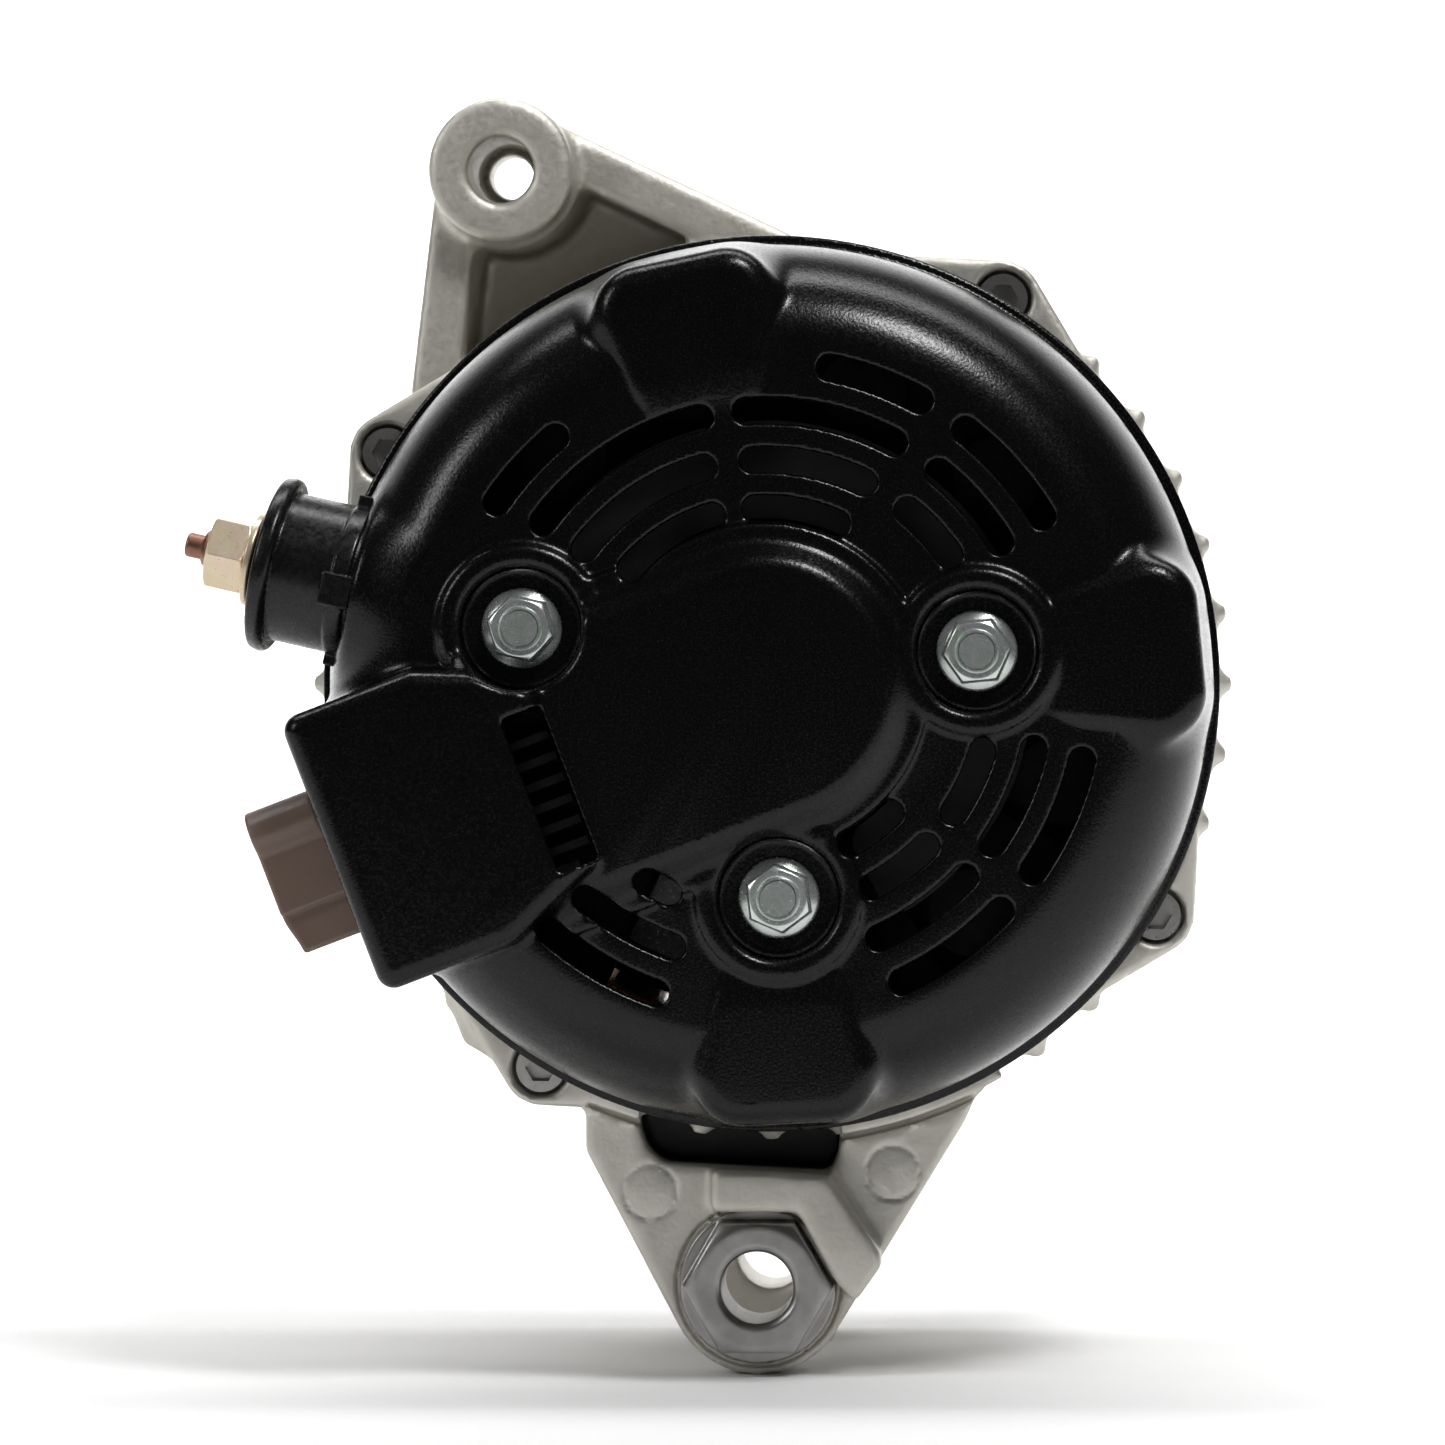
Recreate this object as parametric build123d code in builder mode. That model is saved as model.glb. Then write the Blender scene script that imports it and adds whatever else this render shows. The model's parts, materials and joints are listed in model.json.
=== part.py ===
"""Car alternator with internal fans, regulator and rectifier, as an assembly of separate pieces.

Millimetres. The rotor axis is Y, and the origin lies on it in the middle of the belt grooves.
+Y points out of the drive end, -Y out of the slip-ring end, and +Z is up.
"""

import math
import os

from build123d import *

os.makedirs("parts", exist_ok=True)

# Stations along the rotor axis (Y)
PULLEY_HALF = 13.0  # half the pulley's width, about the belt plane
HUB_FACE = -16.0  # lip in front of the drive-end bearing
DRIVE_FACE = -18.0  # outer face of the drive-end frame
DRIVE_WALL_REAR = -24.0  # inner face of its end wall
STATOR_FRONT = -48.0
STATOR_REAR = -76.0
STATOR_MID = (STATOR_FRONT + STATOR_REAR) / 2
REGISTER = 4.0  # how far each frame reaches over the stator core
REAR_WALL_FRONT = -101.0  # inner face of the rear frame's end wall
REAR_FACE = -106.0  # its outer face, where the rear cover seats
COVER_FACE = -134.0  # flat, slotted face of the rear cover
PLATEAU_FACE = -138.0  # raised face over the slip rings
BOX_FACE = -141.0  # raised box over the regulator
SHAFT_REAR = -130.0

# Radii about the rotor axis
STATOR_R = 62.0
BORE_R = 49.5
ROTOR_R = 49.1
FRAME_R = 65.2
FRAME_INNER_R = 60.5
COVER_R = 65.0
COVER_SIDE_R = 63.5
COVER_FLAT_R = 49.0  # where the flat face turns into the shoulder
COVER_SHOULDER_Y = -114.0
BOLT_CIRCLE_R = 65.2

# Through bolts, ribs and side windows
BOLT_R = 2.4
BOLT_CLEAR = 0.15
BOLT_HEAD_R = 3.6
BOLT_HEAD_SEAT = -102.0  # floor of the counterbores in the rear frame's lugs
LUG_ANGLES = [59, 149, 239, 329]
LUG_R = 5.6
LUG_FOOT = 14.5  # degrees from a lug to where its flanks meet the shell
LUG_HALF_ANGLE = 13.0
RIB_PITCH = 9.0  # degrees
RIB_R = 1.5
PLAIN_ARC = (105.0, 45.0)  # no ribs there: middle and half width
SIDE_WINDOW_WIDTH = 6.2
# Lobe of the rear frame beside the lower left lug: radius and angle of its corners
LOBE = [(58.0, 221.5), (65.0, 221.5), (69.1, 229.4), (68.4, 233.5), (58.0, 233.5)]

# Mounting ears
UPPER_EAR = (-42.3, 76.6)
UPPER_EAR_R = 10.9
UPPER_EAR_FOOT = [(-56.4, 42.0), (-30.0, 35.0), (2.6, 66.4)]
UPPER_EAR_REAR = -62.0
UPPER_EAR_FRONT = -22.0
UPPER_THREAD_R = 3.4
UPPER_COUNTERBORE_R = 5.0
UPPER_THREAD_LENGTH = 12.0
LOWER_EAR = (-2.0, -87.8)
LOWER_EAR_R = 13.2
LOWER_EAR_FOOT = [(-27.3, -55.0), (-27.3, -68.2), (28.2, -63.7), (32.3, -54.0)]
LOWER_BORE_R = 5.2
REAR_EAR_REAR = -102.0
REAR_EAR_FRONT = -88.0
# Pocket between the rear frame's rim and the foot of its lower ear
EAR_RECESS_FLOOR = -91.0
EAR_RECESS = [
    (-19.3, -62.0),
    (-19.3, -64.8),
    (-18.1, -68.1),
    (-15.6, -70.0),
    (-8.7, -70.4),
    (8.4, -71.2),
    (9.7, -68.3),
    (10.0, -62.0),
]
# Corners of the fence that stops the nut bush turning, from the lower ear's centre
BUSH_FENCE = [
    (-6.7, 17.4),
    (-6.7, 11.6),
    (-5.9, 11.0),
    (5.9, 11.0),
    (11.2, 1.3),
    (14.1, -2.2),
    (18.2, 3.5),
    (17.8, 5.6),
    (10.4, 16.6),
]
FRONT_EAR_REAR = -46.0
FRONT_EAR_FRONT = -24.0
NUT_BUSH_FLATS = 19.0
NUT_BUSH_SLEEVE_R = 8.0
NUT_BUSH_HEAD = 6.0
BUSH_FLANGE_R = 11.4
BUSH_FLANGE = 1.0

# Rear cover
COVER_WALL = 1.8
SLOT_WIDTH = 3.7
# Ventilation slots: radius, then the angles of the two end centres
COVER_SLOTS = [
    (46.3, 130.0, 145.5),
    (46.3, 61.5, 78.5),
    (46.3, 31.5, 52.0),
    (46.3, -34.5, -13.0),
    (46.3, -65.0, -43.5),
    (46.3, -131.5, -109.5),
    (39.3, 103.5, 143.5),
    (39.3, 62.0, 94.0),
    (39.3, 31.5, 51.0),
    (39.3, -34.5, -13.0),
    (39.3, -65.5, -43.5),
    (39.3, -130.0, -109.5),
    (32.3, 105.5, 142.5),
    (32.3, 64.0, 93.0),
    (32.3, 35.5, 51.0),
    (32.3, -33.5, -16.5),
    (32.3, -61.5, -44.5),
    (32.3, -121.0, -115.0),
    (25.4, 107.0, 138.5),
    (25.4, 66.0, 93.0),
    (25.4, -61.0, -45.0),
]
BULGE_ANGLES = [102.0, 5.5, -87.0]
BULGE_INNER_HALF = 9.5
BULGE_OUTER_HALF = 13.0
BULGE_REACH = 62.5
STUD_SITES = [(-34.7, 8.3), (30.2, 5.1), (2.0, -30.1)]
STUD_R = 2.5
SPACER_R = 5.0
DISH_R = 9.0
DISH_FLOOR = -131.0
CREST_R = 11.5
CREST_FACE = -135.3

# Brush line: from the rotor axis out to the plug socket.
# u runs outward along it and v runs a quarter turn anticlockwise from it, seen from the rear.
BRUSH_ANGLE = 201.0
PLATEAU_R = 19.3
BOX_OUTLINE = [(30.5, -14.0), (46.0, -20.2), (66.0, -20.2), (66.0, 21.3), (46.0, 21.3), (30.5, 14.8)]
FIN_WINDOW_U = (30.5, 36.5)
FIN_WINDOW_V = (-9.0, 14.3)
PLUG_Y = -122.0
PLUG_ROOT = 62.0
PLUG_TIP = 76.7
PLUG_V = 1.3
PLUG_WIDTH = 21.8
PLUG_THICK = 13.0
PLUG_WALL = 1.8
PLUG_CORNER = 5.8
CAVITY_ROOT = 64.5
REGULATOR_SCREWS = [(58.6, -13.0), (58.6, 13.0), (39.5, -12.2)]
HOLDER_SCREWS = [(27.0, -9.8), (27.0, 9.8)]

# Output terminal
OUTPUT_ANGLE = 167.3  # direction of the terminal seen from the rear
OUTPUT_LEAN = 6.0  # how far the terminal leans toward the drive end
OUTPUT_FLANGE = (-72.2, -117.9, 17.65)  # centre of the insulator's outer face
OUTPUT_BODY_R = 10.8
OUTPUT_FLANGE_R = 12.7
OUTPUT_DEPTH = 17.0  # length of the insulator, down to the bolt's head
OUTPUT_SEAT = 1.4  # where the washer lies
OUTPUT_WASHER_R = 6.8
OUTPUT_STUD_R = 3.0
OUTPUT_POINT_R = 1.75
OUTPUT_THREAD_END = 9.4
OUTPUT_TIP = 12.2
OUTPUT_BOSS_END = -14.6  # outer end of the cover's boss round the insulator

# Bearings: bore and outer radius, end stations, pitch radius, ball radius and number of balls
FRONT_BEARING = {
    "bore": 8.5,
    "outer": 23.5,
    "front": -18.0,
    "rear": -32.0,
    "pitch": 16.0,
    "ball": 4.35,
    "balls": 7,
}
REAR_BEARING = {
    "bore": 7.5,
    "outer": 17.5,
    "front": -97.0,
    "rear": -108.0,
    "pitch": 12.5,
    "ball": 3.0,
    "balls": 8,
}
BALL_GAP = 0.05
SLEEVE_R = 18.2  # outside of the rear bearing's sleeve

# Rotor
SHAFT_FRONT = 16.0
POLE_FINGERS = 8
CLAW_FRONT = -45.0
CLAW_REAR = -79.0
CLAW_DISC = 8.0
CORE_R = 25.0
SLEEVE_INNER_R = 5.0
RING_INNER_R = 6.3
RING_R = 7.6
RING_HALF = 3.0
RING_STATIONS = [-115.0, -124.0]
SLOTS = 36
GROOVES = 6
GROOVE_PITCH = 3.56
PULLEY_R = 27.5
PULLEY_RECESS_R = 17.0
PULLEY_SEAT = 2.0  # where the nut bears on the pulley

# Brushes
BRUSH_AXIAL = 5.0
BRUSH_ACROSS = 5.5
BRUSH_INNER = 7.0
BRUSH_OUTER = 20.7
BRUSH_CLEAR = 0.15
HOLDER_INNER = 10.2
HOLDER_OUTER = 31.0
CHANNEL_END = 29.0


def polar(radius, angle):
    """Point at a radius and an angle in degrees about the rotor axis, seen from the rear."""
    return (radius * math.cos(math.radians(angle)), radius * math.sin(math.radians(angle)))


def around(radius, angle, station):
    """The same point in space, at a station along the rotor axis."""
    x, z = polar(radius, angle)
    return (x, station, z)


def section(station):
    """Plane across the rotor axis, seen from the rear: x is X, y is Z, and extrude goes to -Y."""
    return Plane.XZ.offset(-station)


def turned_section(station, angle):
    """As section, with local x turned to that angle."""
    return Plane(origin=(0, station, 0), x_dir=around(1, angle, 0), z_dir=(0, -1, 0))


def brush_section(station):
    """As section, turned so that local x is u, along the brush line, and local y is v."""
    return turned_section(station, BRUSH_ANGLE)


def brush_cross(reach):
    """Plane across the brush line at that u: local x is v, local y is -Y, and extrude goes outward."""
    direction = around(1, BRUSH_ANGLE, 0)
    return Plane(origin=around(reach, BRUSH_ANGLE, 0), x_dir=around(1, BRUSH_ANGLE + 90, 0), z_dir=direction)


def radial_plane(radius, angle):
    """Plane facing outward at that radius and angle: local y is Y, and extrude goes outward."""
    return Plane(
        origin=around(radius, angle, 0),
        x_dir=around(1, angle - 90, 0),
        z_dir=around(1, angle, 0),
    )


def output_plane(distance):
    """Plane across the output terminal, that far outside the insulator's outer face."""
    x, z = polar(math.cos(math.radians(OUTPUT_LEAN)), OUTPUT_ANGLE)
    axis = Vector(x, math.sin(math.radians(OUTPUT_LEAN)), z)
    centre = Vector(*OUTPUT_FLANGE) + axis * distance
    return Plane(origin=centre, x_dir=axis.cross(Vector(0, 0, 1)), z_dir=axis)


def hexagon(flats, rotation=0):
    """Hexagon across its flats, in the sketch being built."""
    RegularPolygon(radius=flats / 2, side_count=6, major_radius=False, rotation=rotation)


def ring(outer, inner, front, rear, mode=Mode.ADD):
    """Plain ring about the rotor axis between two stations, in the part being built."""
    with BuildSketch(section(front), mode=Mode.PRIVATE) as annulus:
        Circle(outer)
        if inner > 0:
            Circle(inner, mode=Mode.SUBTRACT)
    extrude(annulus.sketch, amount=front - rear, mode=mode)


def sector(inner, outer, angle, half_width, corner):
    """Window between two radii, with straight sides and round corners, in the sketch."""
    inner_half = math.degrees(math.asin(half_width * 0.55 / inner))
    outer_half = math.degrees(math.asin(half_width / outer))
    with BuildSketch(mode=Mode.PRIVATE) as window:
        with BuildLine():
            inside = CenterArc((0, 0), inner, angle - inner_half, 2 * inner_half)
            outside = CenterArc((0, 0), outer, angle - outer_half, 2 * outer_half)
            Line(inside @ 0, outside @ 0)
            Line(inside @ 1, outside @ 1)
        make_face()
        fillet(window.vertices(), corner)
    add(window.sketch)


def horseshoe(inner, outer, start, end):
    """Open ring about the rotor axis from one angle to another, in the sketch."""
    with BuildSketch(mode=Mode.PRIVATE) as plate:
        with BuildLine():
            inside = CenterArc((0, 0), inner, start, end - start)
            outside = CenterArc((0, 0), outer, start, end - start)
            Line(inside @ 0, outside @ 0)
            Line(inside @ 1, outside @ 1)
        make_face()
        fillet(plate.vertices(), 3)
    add(plate.sketch)


def save(piece, name):
    """Labels a finished piece and writes it."""
    piece.label = name
    export_step(piece, f"parts/{name}.step")


# ---------------------------------------------------------------- frames

window_angles = [(k + 0.5) * RIB_PITCH for k in range(int(360 / RIB_PITCH))]


def near(angle, other, reach):
    """Whether two directions are within that many degrees."""
    return abs((angle - other + 180) % 360 - 180) < reach


def rib_ends():
    """Ends of the round ribs between the air outlets, in the sketch."""
    for angle in window_angles:
        place = angle + RIB_PITCH / 2
        if not near(place, *PLAIN_ARC):
            with Locations(polar(FRAME_R + 0.3, place)):
                Circle(RIB_R)


def lug_outline(angle):
    """Lug round a through bolt, with flanks that run out to the shell, in the sketch."""
    with BuildSketch(mode=Mode.PRIVATE) as outline:
        with Locations(polar(BOLT_CIRCLE_R, angle)):
            Circle(LUG_R)
        Polygon(
            polar(FRAME_R - 0.3, angle - LUG_FOOT),
            polar(FRAME_R - 0.3, angle + LUG_FOOT),
            polar(FRAME_INNER_R - 5, angle),
            align=None,
        )
        make_hull()
    add(outline.sketch)


def side_windows(station, length, skipped):
    """Cutters for the air outlets round a frame's shell, clear of the lugs and of the skipped arcs."""
    blocked = skipped + [(lug, LUG_HALF_ANGLE) for lug in LUG_ANGLES]
    with BuildPart() as cutters:
        for angle in window_angles:
            if any(near(angle, middle, reach) for middle, reach in blocked):
                continue
            with BuildSketch(radial_plane(FRAME_INNER_R - 3, angle)):
                with Locations((0, station)):
                    SlotOverall(length, SIDE_WINDOW_WIDTH, rotation=90)
            extrude(amount=14)
    return cutters.part


def ear_outline(centre, radius, foot):
    """Convex outline from an ear's boss to its foot on the frame, in the sketch."""
    with BuildSketch(mode=Mode.PRIVATE) as outline:
        with Locations(centre):
            Circle(radius)
        Polygon(*foot, align=None)
        make_hull()
    add(outline.sketch)

with BuildPart() as drive_end_frame:
    # Outer skin: hub lip, end wall, rounded corner and shell
    with BuildSketch(Plane.XY) as skin:
        Polygon(
            (0, HUB_FACE),
            (30, HUB_FACE),
            (33, DRIVE_FACE),
            (FRAME_R, DRIVE_FACE),
            (FRAME_R, STATOR_FRONT - REGISTER),
            (0, STATOR_FRONT - REGISTER),
            align=None,
        )
        fillet(skin.vertices().sort_by_distance((FRAME_R, DRIVE_FACE))[0], 6)
    revolve(axis=Axis.Y)
    # Round ribs down the shell
    with BuildSketch(section(DRIVE_FACE - 6)):
        rib_ends()
    extrude(amount=26)
    # Through-bolt lugs
    with BuildSketch(section(DRIVE_FACE - 4)):
        for angle in LUG_ANGLES:
            lug_outline(angle)
    extrude(amount=DRIVE_FACE - 4 - STATOR_FRONT + REGISTER)
    # Lower ear
    with BuildSketch(section(FRONT_EAR_FRONT)):
        ear_outline(LOWER_EAR, LOWER_EAR_R, LOWER_EAR_FOOT)
    extrude(amount=FRONT_EAR_FRONT - FRONT_EAR_REAR)
    # Upper ear: boss, and a web with a pocket open to the rear
    with BuildSketch(section(DRIVE_WALL_REAR)):
        ear_outline(UPPER_EAR, UPPER_EAR_R - 1, UPPER_EAR_FOOT)
    extrude(amount=32)
    with BuildSketch(section(-30)):
        ear_outline(UPPER_EAR, UPPER_EAR_R - 1, UPPER_EAR_FOOT)
        offset(amount=-7, kind=Kind.INTERSECTION, mode=Mode.REPLACE)
        with Locations(UPPER_EAR):
            Circle(UPPER_EAR_R + 1, mode=Mode.SUBTRACT)
        Circle(FRAME_R + 1.5, mode=Mode.SUBTRACT)
    extrude(amount=40, mode=Mode.SUBTRACT)
    with BuildSketch(section(UPPER_EAR_FRONT)):
        with Locations(UPPER_EAR):
            Circle(UPPER_EAR_R)
    extrude(amount=UPPER_EAR_FRONT - UPPER_EAR_REAR)
    # Inside: stator register, fan space, bearing seat and shaft opening
    with BuildSketch(Plane.XY) as cavity:
        Polygon(
            (20, HUB_FACE + 1),
            (20, DRIVE_FACE),
            (FRONT_BEARING["outer"], DRIVE_FACE),
            (FRONT_BEARING["outer"], FRONT_BEARING["rear"]),
            (31, FRONT_BEARING["rear"]),
            (33, DRIVE_WALL_REAR),
            (FRAME_INNER_R, DRIVE_WALL_REAR),
            (FRAME_INNER_R, STATOR_FRONT),
            (STATOR_R, STATOR_FRONT),
            (STATOR_R, UPPER_EAR_REAR - 1),
            (0, UPPER_EAR_REAR - 1),
            (0, HUB_FACE + 1),
            align=None,
        )
        fillet(cavity.vertices().sort_by_distance((FRAME_INNER_R, DRIVE_WALL_REAR))[0], 3)
    revolve(axis=Axis.Y, mode=Mode.SUBTRACT)
    # Air inlets in the end wall
    with BuildSketch(section(DRIVE_FACE + 1)):
        for k in range(12):
            sector(36, 56, 30 * k + 18.5, 10, 2)
    extrude(amount=8, mode=Mode.SUBTRACT)
    # Air outlets round the shell
    add(side_windows(-36.5, 16, [(-91, 26), (118, 36)]), mode=Mode.SUBTRACT)
    # Threaded holes for the through bolts, both ears and the retainer screws
    with BuildSketch(section(DRIVE_FACE - 8)):
        for angle in LUG_ANGLES:
            with Locations(polar(BOLT_CIRCLE_R, angle)):
                Circle(BOLT_R)
    extrude(amount=40, mode=Mode.SUBTRACT)
    with BuildSketch(section(UPPER_EAR_FRONT + 1)):
        with Locations(UPPER_EAR):
            Circle(UPPER_THREAD_R)
    extrude(amount=50, mode=Mode.SUBTRACT)
    with BuildSketch(section(UPPER_EAR_FRONT - UPPER_THREAD_LENGTH)):
        with Locations(UPPER_EAR):
            Circle(UPPER_COUNTERBORE_R)
    extrude(amount=50, mode=Mode.SUBTRACT)
    with BuildSketch(section(FRONT_EAR_FRONT + 1)):
        with Locations(LOWER_EAR):
            Circle(LOWER_BORE_R)
    extrude(amount=30, mode=Mode.SUBTRACT)
    with BuildSketch(section(-25)):
        with PolarLocations(27, 4, start_angle=45):
            Circle(2)
    extrude(amount=10, mode=Mode.SUBTRACT)
save(drive_end_frame.part, "drive_end_frame")

with BuildPart() as rear_frame:
    # Outer skin with the bearing boss standing out at the back
    with BuildSketch(Plane.XY):
        Polygon(
            (0, STATOR_REAR + REGISTER),
            (FRAME_R, STATOR_REAR + REGISTER),
            (FRAME_R, REAR_FACE + 1.5),
            (FRAME_R - 1.2, REAR_FACE),
            (22, REAR_FACE),
            (22, REAR_FACE - 3),
            (0, REAR_FACE - 3),
            align=None,
        )
    revolve(axis=Axis.Y)
    with BuildSketch(section(-78)):
        rib_ends()
    extrude(amount=26)
    # Through-bolt lugs
    with BuildSketch(section(STATOR_REAR + REGISTER)):
        for angle in LUG_ANGLES:
            lug_outline(angle)
    extrude(amount=STATOR_REAR + REGISTER - REAR_FACE)
    with BuildSketch(section(REAR_FACE + 12)):
        Polygon(*[polar(radius, angle) for radius, angle in LOBE], align=None)
    extrude(amount=10)
    # Lower ear, with the fence that keeps the nut bush from turning
    with BuildSketch(section(REAR_EAR_FRONT)):
        ear_outline(LOWER_EAR, LOWER_EAR_R, LOWER_EAR_FOOT)
    extrude(amount=REAR_EAR_FRONT - REAR_EAR_REAR)
    with BuildSketch(section(REAR_EAR_REAR)):
        with Locations(LOWER_EAR):
            Polygon(*BUSH_FENCE, align=None)
    extrude(amount=7)
    # Room under the fence for the bush's flange
    with BuildSketch(section(REAR_EAR_REAR)):
        with Locations(LOWER_EAR):
            Circle(BUSH_FLANGE_R + 0.1)
    extrude(amount=BUSH_FLANGE + 0.1, mode=Mode.SUBTRACT)
    # Bosses under the regulator and the brush holder
    with BuildSketch(brush_section(REAR_FACE)):
        with Locations(*REGULATOR_SCREWS):
            Circle(4.5)
    extrude(amount=6)
    with BuildSketch(brush_section(REAR_FACE)):
        with Locations(*HOLDER_SCREWS):
            Circle(3.6)
    extrude(amount=4.5)
    # Inside: stator register, fan space and bearing seat
    with BuildSketch(Plane.XY):
        Polygon(
            (0, STATOR_REAR + REGISTER + 1),
            (STATOR_R, STATOR_REAR + REGISTER + 1),
            (STATOR_R, STATOR_REAR),
            (FRAME_INNER_R, STATOR_REAR),
            (FRAME_INNER_R, REAR_WALL_FRONT),
            (24, REAR_WALL_FRONT),
            (22, REAR_BEARING["front"]),
            (SLEEVE_R, REAR_BEARING["front"]),
            (SLEEVE_R, REAR_FACE - 4),
            (0, REAR_FACE - 4),
            align=None,
        )
    revolve(axis=Axis.Y, mode=Mode.SUBTRACT)
    # Air inlets in the end wall, except under the regulator
    with BuildSketch(section(REAR_WALL_FRONT + 1)):
        for k in range(10):
            if not near(36 * k + 4, BRUSH_ANGLE, 30):
                sector(26, 56, 36 * k + 4, 14, 2)
    extrude(amount=8, mode=Mode.SUBTRACT)
    # Air outlets round the shell
    add(side_windows(-88.5, 17, [(-91, 26)]), mode=Mode.SUBTRACT)
    # Bosses for the cover studs
    with BuildSketch(section(REAR_WALL_FRONT)):
        with Locations(*STUD_SITES):
            Circle(7)
    extrude(amount=REAR_WALL_FRONT - REAR_FACE)
    # Deep pocket at the foot of the ear
    with BuildSketch(section(EAR_RECESS_FLOOR)):
        Polygon(*EAR_RECESS, align=None)
        Circle(FRAME_R - 1, mode=Mode.SUBTRACT)
    extrude(amount=EAR_RECESS_FLOOR - REAR_EAR_REAR, mode=Mode.SUBTRACT)
    # Holes
    with BuildSketch(section(STATOR_REAR + REGISTER + 1)):
        for angle in LUG_ANGLES:
            with Locations(polar(BOLT_CIRCLE_R, angle)):
                Circle(BOLT_R + BOLT_CLEAR)
    extrude(amount=40, mode=Mode.SUBTRACT)
    with BuildSketch(section(BOLT_HEAD_SEAT)):
        for angle in LUG_ANGLES:
            with Locations(polar(BOLT_CIRCLE_R, angle)):
                Circle(BOLT_HEAD_R + 0.6)
    extrude(amount=10, mode=Mode.SUBTRACT)
    with BuildSketch(section(REAR_EAR_FRONT + 1)):
        with Locations(LOWER_EAR):
            Circle(NUT_BUSH_SLEEVE_R)
    extrude(amount=30, mode=Mode.SUBTRACT)
    with BuildSketch(section(REAR_WALL_FRONT + 1)):
        with Locations(*STUD_SITES):
            Circle(STUD_R)
    extrude(amount=10, mode=Mode.SUBTRACT)
    with BuildSketch(brush_section(REAR_WALL_FRONT + 1)):
        with Locations(*REGULATOR_SCREWS):
            Circle(2)
        with Locations(*HOLDER_SCREWS):
            Circle(1.6)
    extrude(amount=15, mode=Mode.SUBTRACT)
save(rear_frame.part, "rear_frame")

with BuildPart() as lower_mount_nut_bush:
    with BuildSketch(section(REAR_EAR_REAR)):
        with Locations(LOWER_EAR):
            hexagon(NUT_BUSH_FLATS)
    extrude(amount=NUT_BUSH_HEAD)
    # The turned chamfer of the head: a disc as wide as the corners, bevelled at the back
    with BuildSketch(section(REAR_EAR_REAR)):
        with Locations(LOWER_EAR):
            Circle(NUT_BUSH_FLATS / 2 * 1.16)
    extrude(amount=NUT_BUSH_HEAD, mode=Mode.INTERSECT)
    with BuildSketch(section(REAR_EAR_FRONT)):
        with Locations(LOWER_EAR):
            Circle(NUT_BUSH_SLEEVE_R)
    extrude(amount=REAR_EAR_FRONT - REAR_EAR_REAR)
    with BuildSketch(section(REAR_EAR_REAR)):
        with Locations(LOWER_EAR):
            Circle(BUSH_FLANGE_R)
    extrude(amount=BUSH_FLANGE)
    with BuildSketch(section(REAR_EAR_FRONT + 1)):
        with Locations(LOWER_EAR):
            Circle(LOWER_BORE_R)
    extrude(amount=30, mode=Mode.SUBTRACT)
save(lower_mount_nut_bush.part, "lower_mount_nut_bush")

with BuildPart() as through_bolts:
    with BuildSketch(section(-27)):
        for angle in LUG_ANGLES:
            with Locations(polar(BOLT_CIRCLE_R, angle)):
                Circle(BOLT_R)
    extrude(amount=-27 - BOLT_HEAD_SEAT)
    with BuildSketch(section(BOLT_HEAD_SEAT)):
        for angle in LUG_ANGLES:
            with Locations(polar(BOLT_CIRCLE_R, angle)):
                Circle(BOLT_HEAD_R)
    extrude(amount=3.6)
    with BuildSketch(section(BOLT_HEAD_SEAT - 1.4)):
        for angle in LUG_ANGLES:
            with Locations(polar(BOLT_CIRCLE_R, angle)):
                hexagon(4)
    extrude(amount=3, mode=Mode.SUBTRACT)
save(through_bolts.part, "through_bolts")

# ---------------------------------------------------------------- stator

SLOT_INNER_R = 50.5
SLOT_OUTER_R = 59.0
SLOT_ACROSS = 5.0

with BuildPart() as stator_core:
    with BuildSketch(section(STATOR_FRONT)):
        Circle(STATOR_R)
        Circle(BORE_R, mode=Mode.SUBTRACT)
        with PolarLocations((SLOT_INNER_R + SLOT_OUTER_R) / 2, SLOTS):
            Rectangle(SLOT_OUTER_R - SLOT_INNER_R, SLOT_ACROSS, mode=Mode.SUBTRACT)
        with PolarLocations(SLOT_INNER_R - 0.5, SLOTS):
            Rectangle(2.4, 2.2, mode=Mode.SUBTRACT)
    extrude(amount=STATOR_FRONT - STATOR_REAR)
save(stator_core.part, "stator_core")

with BuildPart() as stator_winding:
    ring(SLOT_OUTER_R, SLOT_INNER_R, -38, STATOR_FRONT)
    ring(SLOT_OUTER_R, SLOT_INNER_R, STATOR_REAR, -87)
    fillet(stator_winding.edges().group_by(Axis.Y)[0] + stator_winding.edges().group_by(Axis.Y)[-1], 2.5)
    with BuildSketch(section(STATOR_FRONT)):
        with PolarLocations((SLOT_INNER_R + SLOT_OUTER_R) / 2, SLOTS):
            Rectangle(SLOT_OUTER_R - SLOT_INNER_R - 0.6, SLOT_ACROSS - 0.6)
    extrude(amount=STATOR_FRONT - STATOR_REAR)
save(stator_winding.part, "stator_winding")

# ---------------------------------------------------------------- bearings


def race_profile(bearing, inner, outer):
    """Half-section of a bearing race with its ball groove, in the sketch."""
    middle = (bearing["front"] + bearing["rear"]) / 2
    with Locations(((inner + outer) / 2, middle)):
        Rectangle(outer - inner, bearing["front"] - bearing["rear"])
    with Locations((bearing["pitch"], middle)):
        Circle(bearing["ball"] + BALL_GAP, mode=Mode.SUBTRACT)


def ball_centres(bearing):
    """Centres of a bearing's balls."""
    middle = (bearing["front"] + bearing["rear"]) / 2
    return [around(bearing["pitch"], 360 * k / bearing["balls"], middle) for k in range(bearing["balls"])]


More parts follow.
